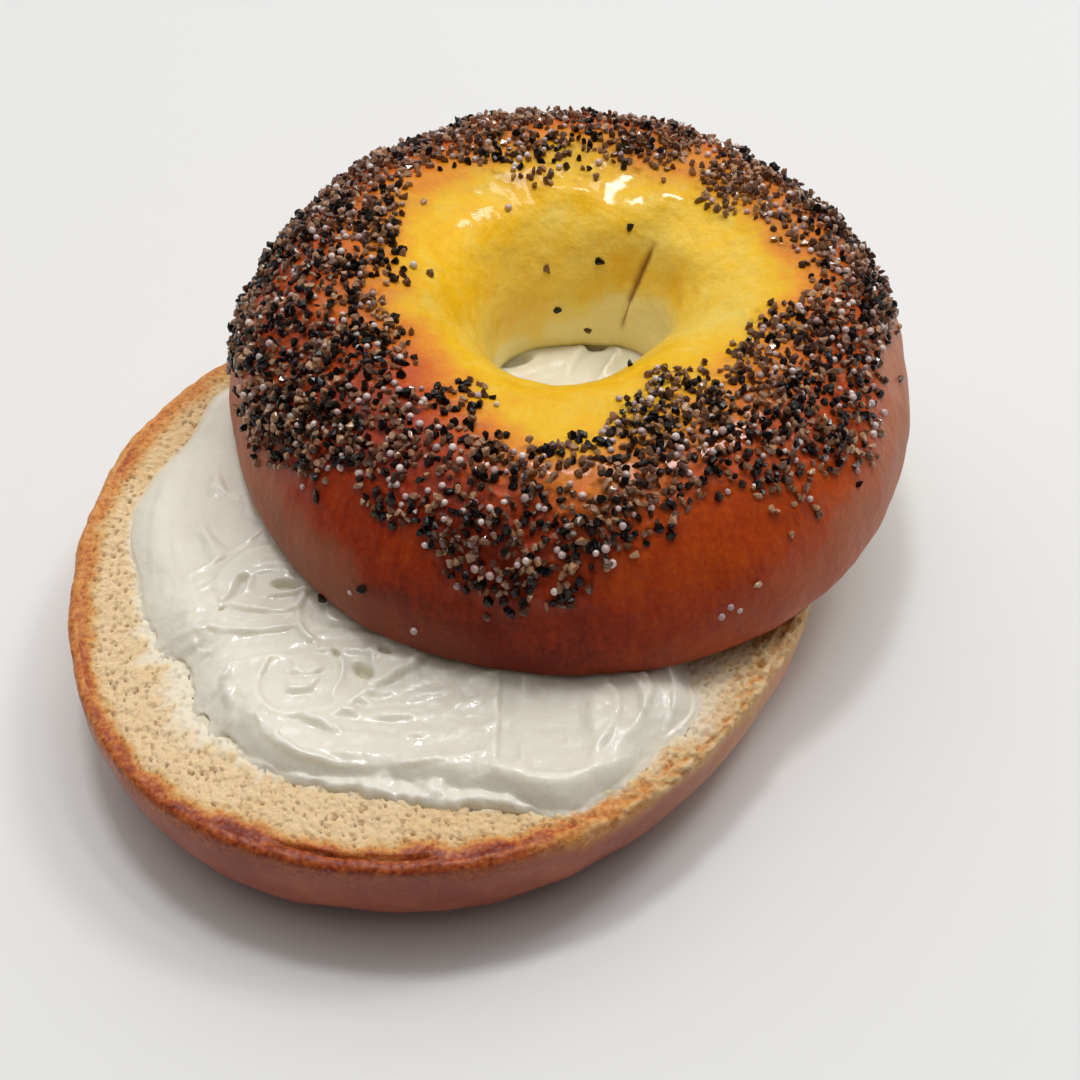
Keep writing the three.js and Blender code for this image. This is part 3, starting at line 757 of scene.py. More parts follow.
# Angle, then how far the edge is only a thin film, how much it is drawn out into fingers, over what width
# it then rises to its full depth, and how thick the film is, all in mm.
SPREAD_FILM = [
    (0, 0.3, 0.1, 3.0, 0.2), (36, 0.2, 0.1, 1.6, 0.4), (68, 0.2, 0.1, 1.6, 0.4), (100, 0.4, 0.1, 3.0, 0.3),
    (130, 0.4, 0.1, 5.0, 0.2), (150, 0.2, 0.1, 6.5, 0.2), (175, 0.2, 0.1, 7.0, 0.2),
    (190, 0.2, 0.2, 7.0, 0.2), (203, 0.5, 0.7, 7.0, 0.12), (216, 0.6, 1.2, 7.0, 0.1),
    (230, 0.5, 0.9, 6.0, 0.15), (240, 0.4, 0.5, 4.0, 0.3), (250, 0.6, 0.3, 3.8, 0.6),
    (262, 1.8, 0.5, 3.6, 0.9), (275, 2.4, 0.6, 3.6, 0.9), (284, 1.8, 0.5, 3.8, 0.8),
    (290, 0.5, 0.6, 3.8, 0.4), (300, 0.4, 0.5, 3.6, 0.3), (310, 0.5, 0.4, 4.4, 0.25),
    (319, 1.0, 0.5, 6.4, 0.15), (330, 0.8, 0.5, 6.2, 0.1), (345, 0.6, 0.3, 5.0, 0.1),
]


def along_edge(angles):
    return on_sheet(np.cos(angles), np.sin(angles)) * 44


def spread_edge(angles):
    return round_curve(SPREAD_EDGE, angles) + 0.15 * lumps(along_edge(angles), 4, 93)


def fingers(angles):
    """How far the thin edge is drawn out or held back at each angle."""
    return round_curve(SPREAD_FILM, angles, 2) * lumps(along_edge(angles), 2.2, 91, 3)


# %% What the knife leaves


def stroke_path(start, via, end, steps=72):
    t = np.linspace(0, 1, steps)[:, None]
    start, via, end = (np.array(point, float) for point in (start, via, end))
    control = 2 * via - (start + end) / 2
    return (1 - t) ** 2 * start + 2 * t * (1 - t) * control + t**2 * end


def lay_stroke(height, x, y, number, stroke):
    """Changes height, in mm, where this stroke passes."""
    start, via, end, width, depth, left_lip, right_lip = stroke
    half = width / 2
    path = stroke_path(start, via, end)
    low = path.min(axis=0) - 1.7 * half
    high = path.max(axis=0) + 1.7 * half
    near = (x > low[0]) & (x < high[0]) & (y > low[1]) & (y < high[1])
    px, py = x[near], y[near]
    along = np.hypot(px[:, None] - path[:, 0], py[:, None] - path[:, 1]).argmin(axis=1)
    ahead = np.gradient(path, axis=0)
    ahead /= np.linalg.norm(ahead, axis=1, keepdims=True)
    dx = px - path[along, 0]
    dy = py - path[along, 1]
    side = ahead[along, 0] * dy - ahead[along, 1] * dx
    past = ahead[along, 0] * dx + ahead[along, 1] * dy
    beyond = np.where((along == 0) | (along == len(path) - 1), np.abs(past), 0)
    length = np.linalg.norm(np.diff(path, axis=0), axis=1).sum()
    travelled = along / (len(path) - 1) * length + past
    wander = np.stack([travelled, np.full_like(travelled, 7.0 * number), np.zeros_like(travelled)], -1)
    edge = np.abs(side) / half * (1 + 0.10 * lumps(wander, 3.0, 101)) + beyond / half
    inside = 1 - ease((edge - 0.76) / 0.44)
    ends = ease((travelled / length + 0.12) / 0.22) * ease((1.12 - travelled / length) / 0.22)
    lines = np.stack([side, travelled * 0.05, np.full_like(side, 3.0 * number)], -1)
    floor = -depth * (1 - 0.30 * np.minimum(edge, 1) ** 2) + 0.08 * lumps(lines, 0.9, 103, 2)
    lip_height = np.where(side > 0, left_lip, right_lip) * (0.62 + 0.70 * lumps(wander + 40, 3.0, 105, 2))
    steep = np.where(edge < 1.08, 0.17, 0.34)
    lip = np.maximum(lip_height, 0) * np.exp(-(((edge - 1.08) / steep) ** 2)) * ends
    height[near] = mix(height[near], floor, inside * ends) + lip


def lay_pocket(height, shade, x, y, pocket):
    middle_x, middle_y, length, width, direction, depth = pocket
    turn = direction * DEG
    dx = x - middle_x
    dy = y - middle_y
    on = (dx * math.cos(turn) + dy * math.sin(turn)) / (length / 2)
    off = (dy * math.cos(turn) - dx * math.sin(turn)) / (width / 2)
    hollow = 1 - ease((np.hypot(on, off) - 0.35) / 0.75)
    height -= depth * hollow
    np.maximum(shade, hollow, out=shade)


def under_top(x, y):
    """Height of the upper half's cut face over a place, and how far that place lies inside its outline."""
    dx = x - (TOP_CENTRE[0] - BOTTOM_CENTRE[0])
    dy = y - (TOP_CENTRE[1] - BOTTOM_CENTRE[1])
    angles = np.arctan2(dy, dx)
    hx, hy = TOP_HOLE["centre"]
    from_hole = np.hypot(dx - hx, dy - hy) - hole_edge(np.arctan2(dy - hy, dx - hx))
    inset = np.minimum(top_edge(angles) - BELLY_OVERHANG * 0.4 - np.hypot(dx, dy), from_hole)
    return TOP_LIFT - dx * math.tan(TOP_LEAN * DEG) - 0.06, inset


# %% Spread the cheese
SPREAD_SECTORS = [28.0, (84.0, 90), (134.0, 26), (342.0, 500), (388.0, 24)]
SPREAD_ROWS = {"middle": 100, "rim": 30}
SPREAD_RIM = 0.12  # share of the way in over which the rows lie closer together
SPREAD_SUNK = 0.25  # mm by which its underside sits in the crumb


def cheese_spread():
    angles = np.radians(uneven(SPREAD_SECTORS)[:-1])
    inset_share = np.concatenate([
        np.linspace(1, SPREAD_RIM, SPREAD_ROWS["middle"], endpoint=False),
        SPREAD_RIM * (1 - np.sin(np.linspace(0, 90, SPREAD_ROWS["rim"]) * DEG)),
    ])
    theta, share = np.meshgrid(angles, inset_share, indexing="ij")
    edge = spread_edge(theta)
    film = round_curve(SPREAD_FILM, theta, 1)
    inset = edge * share
    radius = edge - inset + fingers(theta) * (1 - ease(inset / (film + 0.6)))
    x = radius * np.cos(theta)
    y = radius * np.sin(theta)
    flat = on_sheet(x, y)

    height = 0.16 * lumps(flat, 7, 111, 2)
    shade = np.zeros_like(height)
    for number, stroke in enumerate(STROKES):
        lay_stroke(height, x, y, number, stroke)
    for pocket in POCKETS:
        lay_pocket(height, shade, x, y, pocket)
    height = 0.8 * height + 0.10 * lumps(flat, 5, 113, 2) + 0.07 * lumps(flat, 1.6, 115, 2)
    drawn_out = ease((round_curve(SPREAD_FILM, theta, 2) - 0.3) / 0.8) * ease((8 - inset) / 5)
    height += 0.55 * drawn_out * lumps(on_sheet(theta * 40 / 1.3, inset / 6), 1.0, 119, 2)

    slope = round_curve(SPREAD_FILM, theta, 3)
    roll = np.sin(np.clip((inset - film) / slope, 0, 1) * 90 * DEG)
    least = round_curve(SPREAD_FILM, theta, 4) * (1 + 0.5 * lumps(flat, 2.2, 117, 2))
    thin = least * np.sqrt(np.clip(1 - (1 - np.clip(inset / 0.7, 0, 1)) ** 2, 0, 1))
    thick = np.maximum((SPREAD_DEPTH + height) * roll, thin)
    open_top = mix(BOTTOM_HEIGHT - 0.12, SPREAD_FLOOR, ease(inset / 0.9)) + thick
    ceiling, under = under_top(x, y)
    proud = np.minimum(open_top, ceiling + 1.6 - 1.2 * ease((under + 1.6) / 1.6))
    top = mix(proud, np.minimum(open_top, ceiling), ease((under + 0.4) / 0.5))
    points = np.stack([x, y, top], -1)
    floor_radius = edge[:, -1:] * np.array([[0.995, 0.5]])
    floor = on_sheet(floor_radius * np.cos(theta[:, :1]), floor_radius * np.sin(theta[:, :1]))
    floor[..., 2] = BOTTOM_HEIGHT - SPREAD_SUNK
    points = np.concatenate([points[:, 1:], floor], axis=1) + np.array([*BOTTOM_CENTRE, 0.0])
    columns, rows = points.shape[:2]
    faces = sheet_faces(columns, rows).reshape(columns, rows, 4)[:, : rows - 1].reshape(-1, 4)
    everything = np.concatenate([
        points.reshape(-1, 3),
        [[*BOTTOM_CENTRE, SPREAD_FLOOR + SPREAD_DEPTH - 0.6], [*BOTTOM_CENTRE, BOTTOM_HEIGHT - SPREAD_SUNK]],
    ])
    piece = new_piece("cheese", everything, faces)
    mesh = bmesh.new()
    mesh.from_mesh(piece.data)
    mesh.verts.ensure_lookup_table()
    count = columns * rows
    for i in range(columns):
        here = i * rows
        following = (i + 1) % columns * rows
        mesh.faces.new([mesh.verts[k] for k in (count, here, following)])
        mesh.faces.new([mesh.verts[k] for k in (count + 1, following + rows - 1, here + rows - 1)])
    mesh.to_mesh(piece.data)
    mesh.free()
    piece.data.shade_smooth()

    def whole(values):
        columns_of = np.concatenate([values[:, 1:], np.zeros((columns, 2))], axis=1)
        return np.concatenate([columns_of.ravel(), [0, 0]])

    # the pockets are marked so that the material paints shade into them
    paint(piece, {"pocket": whole(shade), "thin": whole(1 - ease(thick - 0.1))})
    return piece


cheese = cheese_spread()
print("cheese:", triangles(cheese), "triangles")

# %% [markdown]
# ## The cut face under the upper half
#
# It mostly lies on the cheese, but it shows from below and where the halves gape. It is a slab of crumb like
# the lower one, with coarser steps, because it is nearly always in shade.

# %% The crumb of the upper half
CRUMB_THICK = 2.5
CRUMB_FROM_TO = (0.03, 0.965)  # shares of the way from the hole's edge to the crust
CRUMB_COLUMNS = 480
CRUMB_ROWS = 74


def top_crumb():
    angles = np.linspace(0, 2 * math.pi, CRUMB_COLUMNS, endpoint=False)
    share = np.linspace(*CRUMB_FROM_TO, CRUMB_ROWS)
    theta, w = np.meshgrid(angles, share, indexing="ij")
    inner_x = TOP_HOLE["centre"][0] + hole_edge(theta) * np.cos(theta)
    inner_y = TOP_HOLE["centre"][1] + hole_edge(theta) * np.sin(theta)
    outer = top_edge(theta) - BELLY_OVERHANG
    x = mix(inner_x, outer * np.cos(theta), w)
    y = mix(inner_y, outer * np.sin(theta), w)
    face = on_sheet(x, y)
    depth, pit_shade = pits(x, y, PIT_STEP, 72)
    hold = ease((CRUMB_FROM_TO[1] - w) / 0.03) * ease((w - CRUMB_FROM_TO[0]) / 0.05)
    height = (0.10 + 0.12 * lumps(face, 8, 121, 2) + depth) * hold
    toast = ease((w - 0.85) / 0.13) * 0.7 + 0.25 * ease(lumps(face, 7, 123, 3) + 0.1)
    face[..., 2] = height
    cover = face[:, [0, -1]] + np.array([0.0, 0.0, CRUMB_THICK])
    points = lean_top(np.concatenate([face[:, ::-1], cover], axis=1))
    piece = new_piece("top_crumb", points, sheet_faces(*points.shape[:2]))
    fill = np.zeros((len(angles), 2))
    paint(piece, {
        "pit": np.concatenate([(pit_shade * hold)[:, ::-1], fill], axis=1),
        "toast": np.concatenate([toast[:, ::-1], fill + 1], axis=1),
    })
    return piece


upper_crumb = top_crumb()
print("upper crumb:", triangles(upper_crumb), "triangles")

# %% [markdown]
# ## The seeds
#
# Three kinds of seed cover the crust: black ones with sharp edges, brown ones in many shades, and pale
# round ones. Placing thousands by hand makes no sense, so a Geometry Nodes tree sows them. It scatters
# points on the crust, keeps more of them where the painted map is high, gives each point a lot number, and
# keeps only the lots of its own kind. Every kind runs the same tree with the same random seed, so no two
# kinds want the same place. A second run sows the seeds that lie on top of others.

# %% Shapes of single seeds


def grain(name, stretch, corners, seed):
    """A sharp-edged grain of about 1 mm: the hull round a few random points."""
    draw = np.random.default_rng(seed)
    way = draw.normal(size=(corners, 3))
    way /= np.linalg.norm(way, axis=1, keepdims=True)
    way *= draw.uniform(0.84, 1.0, (corners, 1)) * np.array(stretch) * 0.5
    mesh = bmesh.new()
    for corner in way:
        mesh.verts.new((corner * MM).tolist())
    hull = bmesh.ops.convex_hull(mesh, input=mesh.verts)
    loose = {v for v in hull["geom_unused"] + hull["geom_interior"] if isinstance(v, bmesh.types.BMVert)}
    bmesh.ops.delete(mesh, geom=sorted(loose, key=lambda v: v.index), context="VERTS")
    bmesh.ops.recalc_face_normals(mesh, faces=mesh.faces)
    return shape_of(name, mesh)


def bead(name, stretch, seed):
    """A round, slightly dented seed of about 1 mm."""
    mesh = bmesh.new()
    bmesh.ops.create_uvsphere(mesh, u_segments=8, v_segments=6, radius=0.5)
    places = np.array([v.co for v in mesh.verts])
    swell = 1 + 0.06 * lumps(places, 0.5, seed)
    for vertex, place, size in zip(mesh.verts, places, swell):
        vertex.co = place * size * np.array(stretch) * MM
    for face in mesh.faces:
        face.smooth = True
    return shape_of(name, mesh)


def shape_of(name, mesh):
    data = bpy.data.meshes.new(name)
    mesh.to_mesh(data)
    mesh.free()
    return bpy.data.objects.new(name, data)


def seed_box(name, shapes):
    """A collection that only keeps the shapes for the sowing; it isn't part of the scene."""
    box = bpy.data.collections.new(name)
    for shape in shapes:
        box.objects.link(shape)
    return box


SEED_SHAPES = {
    "black": seed_box("black_shapes", [
        grain(f"black_{i}", stretch, 17, 300 + i)
        for i, stretch in enumerate([(1.0, 0.9, 0.85), (1.2, 0.9, 0.8), (1.0, 1.0, 0.8), (1.35, 0.85, 0.75)])
    ]),
    "brown": seed_box("brown_shapes", [
        grain(f"brown_{i}", stretch, 16, 320 + i)
        for i, stretch in enumerate([(1.1, 0.95, 0.8), (1.4, 0.95, 0.65), (1.0, 0.9, 0.9), (1.25, 0.9, 0.55)])
    ]),
    "pale": seed_box("pale_shapes", [
        bead(f"pale_{i}", stretch, 340 + i)
        for i, stretch in enumerate([(1.0, 1.0, 0.92), (1.1, 0.95, 0.85), (0.95, 0.95, 0.95)])
    ]),
}

# Each kind's share of the lots, which run from 0 to 1, and its smallest and its largest size in mm.
KINDS = {
    "black": {"lots": (0.0, 0.40), "smallest": 1.1, "largest": 1.8},
    "brown": {"lots": (0.40, 0.91), "smallest": 1.0, "largest": 1.7},
    "pale": {"lots": (0.91, 1.0), "smallest": 0.75, "largest": 1.25},
}


# %% The sowing tree
def sowing_tree():
    tree = new_tree("sow_seeds", "GeometryNodeTree", [
        ("Crust", "NodeSocketGeometry", None), ("Map", "NodeSocketString", "seed_cover"),
        ("Spacing", "NodeSocketFloat", 0.0011), ("Draw", "NodeSocketInt", 1),
        ("Lowest lot", "NodeSocketFloat", 0.0), ("Highest lot", "NodeSocketFloat", 1.0),
        ("Lift", "NodeSocketFloat", 0.0003), ("Smallest", "NodeSocketFloat", 0.8),
        ("Largest", "NodeSocketFloat", 1.2), ("Shapes", "NodeSocketCollection", None),
        ("Finish", "NodeSocketMaterial", None),
    ], [("Seeds", "NodeSocketGeometry", None)])
    given = add(tree, "NodeGroupInput").outputs
    cover = add(tree, "GeometryNodeInputNamedAttribute", {"Name": given["Map"]}, data_type="FLOAT")
    scatter = add(tree, "GeometryNodeDistributePointsOnFaces", {
        "Mesh": given["Crust"], "Distance Min": given["Spacing"], "Density Max": 2.0e6,
        "Density Factor": cover.outputs["Attribute"], "Seed": given["Draw"],
    }, distribute_method="POISSON")

    lot = add(tree, "FunctionNodeRandomValue", {"Seed": given["Draw"]}, data_type="FLOAT").outputs[1]
    room = math_of(tree, "SUBTRACT", KINDS["pale"]["lots"][0], lot)
    room = math_of(tree, "MAXIMUM", room, 0.0)
    few = add(tree, "GeometryNodeInputNamedAttribute", {"Name": "few_black"}, data_type="FLOAT")
    shift = math_of(tree, "MULTIPLY", few.outputs["Attribute"], room)
    lot = math_of(tree, "ADD", shift, lot)
    below = add(tree, "FunctionNodeCompare", {"A": lot, "B": given["Lowest lot"]}, operation="LESS_THAN")
    above = add(tree, "FunctionNodeCompare", {"A": lot, "B": given["Highest lot"]}, operation="GREATER_EQUAL")
    other = add(tree, "FunctionNodeBooleanMath", {0: below.outputs[0], 1: above.outputs[0]}, operation="OR")
    kept = add(tree, "GeometryNodeDeleteGeometry", {
        "Geometry": scatter.outputs["Points"], "Selection": other.outputs[0],
    }, domain="POINT")
    raised = add(tree, "ShaderNodeVectorMath", {
        0: scatter.outputs["Normal"], "Scale": given["Lift"],
    }, operation="SCALE")
    placed = add(tree, "GeometryNodeSetPosition", {"Geometry": kept.outputs[0], "Offset": raised.outputs[0]})

    box = add(tree, "GeometryNodeCollectionInfo", {
        "Collection": given["Shapes"], "Separate Children": True, "Reset Children": True,
    })
    size = add(tree, "FunctionNodeRandomValue", {"Seed": 11}, data_type="FLOAT")
    tree.links.new(given["Smallest"], size.inputs[2])
    tree.links.new(given["Largest"], size.inputs[3])
    sown = add(tree, "GeometryNodeInstanceOnPoints", {
        "Points": placed.outputs[0], "Instance": box.outputs[0], "Pick Instance": True,
        "Scale": size.outputs[1],
    })
    turn = add(tree, "FunctionNodeRandomValue", {1: (2 * math.pi,) * 3, "Seed": 12}, data_type="FLOAT_VECTOR")
    turned = add(tree, "GeometryNodeRotateInstances", {
        "Instances": sown.outputs[0], "Rotation": turn.outputs[0], "Local Space": True,
    })
    tone = add(tree, "FunctionNodeRandomValue", {"Seed": 13}, data_type="FLOAT")
    toned = add(tree, "GeometryNodeStoreNamedAttribute", {
        "Geometry": turned.outputs[0], "Name": "tone", "Value": tone.outputs[1],
    }, data_type="FLOAT", domain="INSTANCE")
    real = add(tree, "GeometryNodeRealizeInstances", {"Geometry": toned.outputs[0]})
    dressed = add(tree, "GeometryNodeSetMaterial", {"Geometry": real.outputs[0], "Material": given["Finish"]})
    add(tree, "NodeGroupOutput", {"Seeds": dressed.outputs[0]})
    return tree


SOW = sowing_tree()
SOW_SOCKETS = {item.name: item.identifier for item in SOW.interface.items_tree if item.in_out == "INPUT"}
print("the sowing tree has", len(SOW.nodes), "nodes; its inputs are", list(SOW_SOCKETS))


# %% Sow
def sow(name, settings):
    """Runs the sowing tree on a copy of the crust, and keeps the result as a plain mesh."""
    bed = bpy.data.objects.new(name + "_bed", crust.data)
    bpy.context.scene.collection.objects.link(bed)
    modifier = bed.modifiers.new("sow", "NODES")
    modifier.node_group = SOW
    for label, value in settings.items():
        modifier[SOW_SOCKETS[label]] = value
    graph = bpy.context.evaluated_depsgraph_get()
    graph.update()
    sown = bed.evaluated_get(graph)
    mesh = bpy.data.meshes.new_from_object(sown, preserve_all_data_layers=True, depsgraph=graph)
    bpy.data.objects.remove(bed)
    piece = bpy.data.objects.new(name, mesh)
    mesh.name = name
    bpy.context.scene.collection.objects.link(piece)
    return piece


# Angle round the ring, place across it and size in mm of single seeds that lie apart from the band.
STRAYS = {
    "black": [(62.8, 0.56, 1.9), (74.0, 0.39, 1.7), (102.0, 0.19, 1.7)],
    "brown": [(107.5, 0.38, 1.8), (78.0, 0.08, 1.6)],
    "pale": [(292, 1.86, 1.3), (293.5, 1.83, 1.2), (295, 1.86, 1.1), (247, 1.95, 1.2), (236, 1.9, 1.1)],
}


def stray_seeds(mesh, kind):
    """Adds the strays of one kind to a bmesh of seeds."""
    draw = np.random.default_rng(len(kind))
    shapes = list(SEED_SHAPES[kind].objects)
    tone = mesh.verts.layers.float["tone"]
    for number, (angle, across, size) in enumerate(STRAYS[kind]):
        place = lean_top(top_point(np.array([angle * DEG]), np.array([across])))[0]
        first = len(mesh.verts)
        mesh.from_mesh(shapes[number % len(shapes)].data)
        mesh.verts.ensure_lookup_table()
        turn = Euler(draw.uniform(0, 2 * math.pi, 3)).to_matrix()
        shade = draw.random()
        for vertex in mesh.verts[first:]:
            vertex.co = turn @ vertex.co * size + Vector(place * MM)
            vertex[tone] = shade


LAYERS = [
    {"Map": "seed_cover", "Spacing": 0.00074, "Draw": 1, "Lift": 0.00022},
    {"Map": "seed_heap", "Spacing": 0.00100, "Draw": 2, "Lift": 0.00095},
]


def seeds_of(kind, finish):
    mesh = bmesh.new()
    for layer in LAYERS:
        settings = dict(layer)
        settings["Lowest lot"], settings["Highest lot"] = KINDS[kind]["lots"]
        settings["Smallest"], settings["Largest"] = KINDS[kind]["smallest"], KINDS[kind]["largest"]
        settings["Shapes"] = SEED_SHAPES[kind]
        settings["Finish"] = finish
        part = sow(f"{kind}_layer", settings)
        mesh.from_mesh(part.data)
        bpy.data.objects.remove(part)
    stray_seeds(mesh, kind)
    for face in mesh.faces:
        face.material_index = 0
    piece = shape_of(f"seeds_{kind}", mesh)
    piece.data.materials.append(finish)
    bpy.context.scene.collection.objects.link(piece)
    return piece


# %% [markdown]
# ## Finishes: two effects that several materials share
#
# Baked dough is blotchy at every size, so a mottle is needed in nearly all of the materials: it shifts a
# colour a little, softly and at random. A fine relief is the other shared effect: tiny dimples and blisters
# that are too small for the mesh and break up the highlights. Each is a node group, built once, and each
# material gives it its own sizes.

# %% Shared node groups
def mottle_group():
    tree = new_tree("mottle", "ShaderNodeTree", [
        ("Place", "NodeSocketVector", None), ("Lumps per metre", "NodeSocketFloat", 100.0),
        ("Amount", "NodeSocketFloat", 0.1),
    ], [("Shift", "NodeSocketFloat", None)])
    given = add(tree, "NodeGroupInput").outputs
    noise = add(tree, "ShaderNodeTexNoise", {
        "Vector": given["Place"], "Scale": given["Lumps per metre"], "Detail": 5.0, "Roughness": 0.6,
    })
    centred = math_of(tree, "SUBTRACT", noise.outputs["Fac"], 0.5)
    twice = math_of(tree, "MULTIPLY", given["Amount"], 2.0)
    add(tree, "NodeGroupOutput", {"Shift": math_of(tree, "MULTIPLY", centred, twice)})
    return tree


def fine_relief_group():
    tree = new_tree("fine_relief", "ShaderNodeTree", [
        ("Place", "NodeSocketVector", None), ("Dimples per metre", "NodeSocketFloat", 500.0),
        ("Detail", "NodeSocketFloat", 4.0), ("Blisters", "NodeSocketFloat", 0.5),
    ], [("Height", "NodeSocketFloat", None)])
    given = add(tree, "NodeGroupInput").outputs
    dimples = add(tree, "ShaderNodeTexNoise", {
        "Vector": given["Place"], "Scale": given["Dimples per metre"], "Detail": given["Detail"],
        "Roughness": 0.55,
    })
    blisters = add(tree, "ShaderNodeTexVoronoi", {
        "Vector": given["Place"], "Scale": given["Dimples per metre"],
    }, feature="SMOOTH_F1")
    spread = add(tree, "ShaderNodeMapRange", {
        "Value": blisters.outputs["Distance"], "From Min": 0.1, "From Max": 0.6, "To Min": 1.0, "To Max": 0.0,
    })
    share = math_of(tree, "MULTIPLY", spread.outputs["Result"], given["Blisters"])
    add(tree, "NodeGroupOutput", {"Height": math_of(tree, "ADD", dimples.outputs["Fac"], share)})
    return tree


MOTTLE = mottle_group()
FINE_RELIEF = fine_relief_group()
print("shared effects:", MOTTLE.name, FINE_RELIEF.name)


# %% Small tools for materials
def new_finish(name, **sockets):
    """A material with one Principled shader, and the values that are the same all over it."""
    finish = bpy.data.materials.new(name)
    finish.use_nodes = True
    tree = finish.node_tree
    shader = tree.nodes["Principled BSDF"]
    for label, value in sockets.items():
        shader.inputs[label.replace("_", " ")].default_value = value
    place = add(tree, "ShaderNodeTexCoord").outputs["Object"]
    return finish, tree, shader, place


def mark(tree, name):
    """Reads a number that was painted on the mesh."""
    return add(tree, "ShaderNodeAttribute", attribute_name=name).outputs["Fac"]


def use_group(tree, group, sockets):
    return add(tree, "ShaderNodeGroup", sockets, node_tree=group).outputs[0]


def mottle(tree, place, lumps_per_metre, amount):
    return use_group(tree, MOTTLE, {"Place": place, "Lumps per metre": lumps_per_metre, "Amount": amount})


def feed(tree, shader, sockets):
    """Links values that change over the surface to the shader."""
    for name, value in sockets.items():
        tree.links.new(value, shader.inputs[name])


def ramp(tree, factor, stops):
    """A colour ramp from rows of (place, (red, green, blue) as seen on a screen)."""
    node = add(tree, "ShaderNodeValToRGB", {"Fac": factor})
    elements = node.color_ramp.elements
    while len(elements) < len(stops):
        elements.new(0.5)
    for element, (place, colour) in zip(elements, stops):
        element.position = place
        element.color = srgb(*colour)
    return node.outputs["Color"]


def blend_colour(tree, factor, first, second):
    """Mixes two colours; a colour is a link or (red, green, blue) as seen on a screen."""
    first = srgb(*first) if isinstance(first, tuple) else first
    second = srgb(*second) if isinstance(second, tuple) else second
    return add(tree, "ShaderNodeMix", {0: factor, 6: first, 7: second}, data_type="RGBA").outputs[2]


def bump(tree, height, depth):
    """Turns a height from 0 to 1 into a dent of depth mm in the shading."""
    return add(tree, "ShaderNodeBump", {"Height": height, "Distance": depth * MM}).outputs["Normal"]


# %% [markdown]
# ## Finish of the glazed crust
#
# The crust was brushed with egg before baking, so it is glossy like varnish: a coat over the baked dough.
# Its colour comes from the baking number through a ramp, from raw dough over egg yellow and orange to a
# dark red-brown. Fine relief breaks the highlights into sparkles. Low on the sides, where the wash ran
# thin, the crust is duller, and a pale pink is painted over it: painted sheen, for light glancing off the
# sides.

# %% The glazed crust
def glazed_crust():
    finish, tree, shader, place = new_finish("glazed_crust", Coat_Roughness=0.10, Specular_IOR_Level=0.14)
    along = add(tree, "ShaderNodeAttribute", attribute_name="skin").outputs["Vector"]
    bake = mark(tree, "bake")
    mottled = math_of(tree, "ADD", bake, mottle(tree, place, 160.0, 0.13))
    streaks = mottle(tree, along, 800.0, 0.15)
    specks = mottle(tree, place, 1300.0, 0.15)
    grained = math_of(tree, "MULTIPLY", math_of(tree, "ADD", streaks, specks), bake)
    baked = math_of(tree, "ADD", mottled, grained, clamp=True)
    colour = ramp(tree, baked, [
        (0.00, (230, 219, 156)), (0.14, (230, 206, 104)), (0.28, (232, 182, 15)), (0.42, (226, 144, 27)),
        (0.56, (209, 106, 26)), (0.70, (192, 78, 19)), (0.86, (162, 52, 15)), (1.00, (120, 34, 12)),
    ])
    patches = mottle(tree, place, 70.0, 0.7)
    bloom = math_of(tree, "MULTIPLY", mark(tree, "bloom"), math_of(tree, "ADD", patches, 0.86), clamp=True)
    # painted sheen: a pale pink blended over the low sides, standing in for light glancing off the glaze
    colour = blend_colour(tree, bloom, colour, (184, 122, 92))
    # painted light: the colour is raised by up to a fifth on the back wall of the funnel
    funnel_painted_light = run_of(tree, mark(tree, "funnel"), 1.0, 1.20)
    colour = add(tree, "ShaderNodeVectorMath", {0: colour, "Scale": funnel_painted_light}, operation="SCALE")
    # the seam's slit is painted brown: partly its own colour and partly painted shade in the narrow crevice
    colour = blend_colour(tree, mark(tree, "slit"), colour.outputs["Vector"], (150, 98, 46))
    cover = mark(tree, "seed_cover")
    coat = math_of(tree, "MULTIPLY", mark(tree, "wash"), 0.50)
    coat = math_of(tree, "ADD", coat, math_of(tree, "MULTIPLY", cover, 0.25), clamp=True)
    skin = use_group(tree, FINE_RELIEF, {
        "Place": place, "Dimples per metre": 480.0, "Detail": 3.0, "Blisters": 0.0,
    })
    sticky = use_group(tree, FINE_RELIEF, {
        "Place": place, "Dimples per metre": 620.0, "Detail": 0.5, "Blisters": 1.0,
    })
    sticky = math_of(tree, "MULTIPLY", sticky, cover)
    height = math_of(tree, "ADD", skin, math_of(tree, "MULTIPLY", sticky, 2.1))
    feed(tree, shader, {
        "Base Color": colour, "Roughness": run_of(tree, bloom, 0.40, 0.50), "Coat Weight": coat,
        "Normal": bump(tree, height, 0.30),
    })
    return finish


# %% [markdown]
# ## Finish of the bread
#
# Crumb is matt. Its pits are painted darker, as painted shade in the holes, and the toaster has tanned it
# towards the rim and in patches.
# The lower crust has no glaze. It is a satin brown, redder and more even than the top. Both belong to one
# material, which blends them by the painted numbers. Where the knife smeared cheese over the crumb, the
# material turns pale and slick.

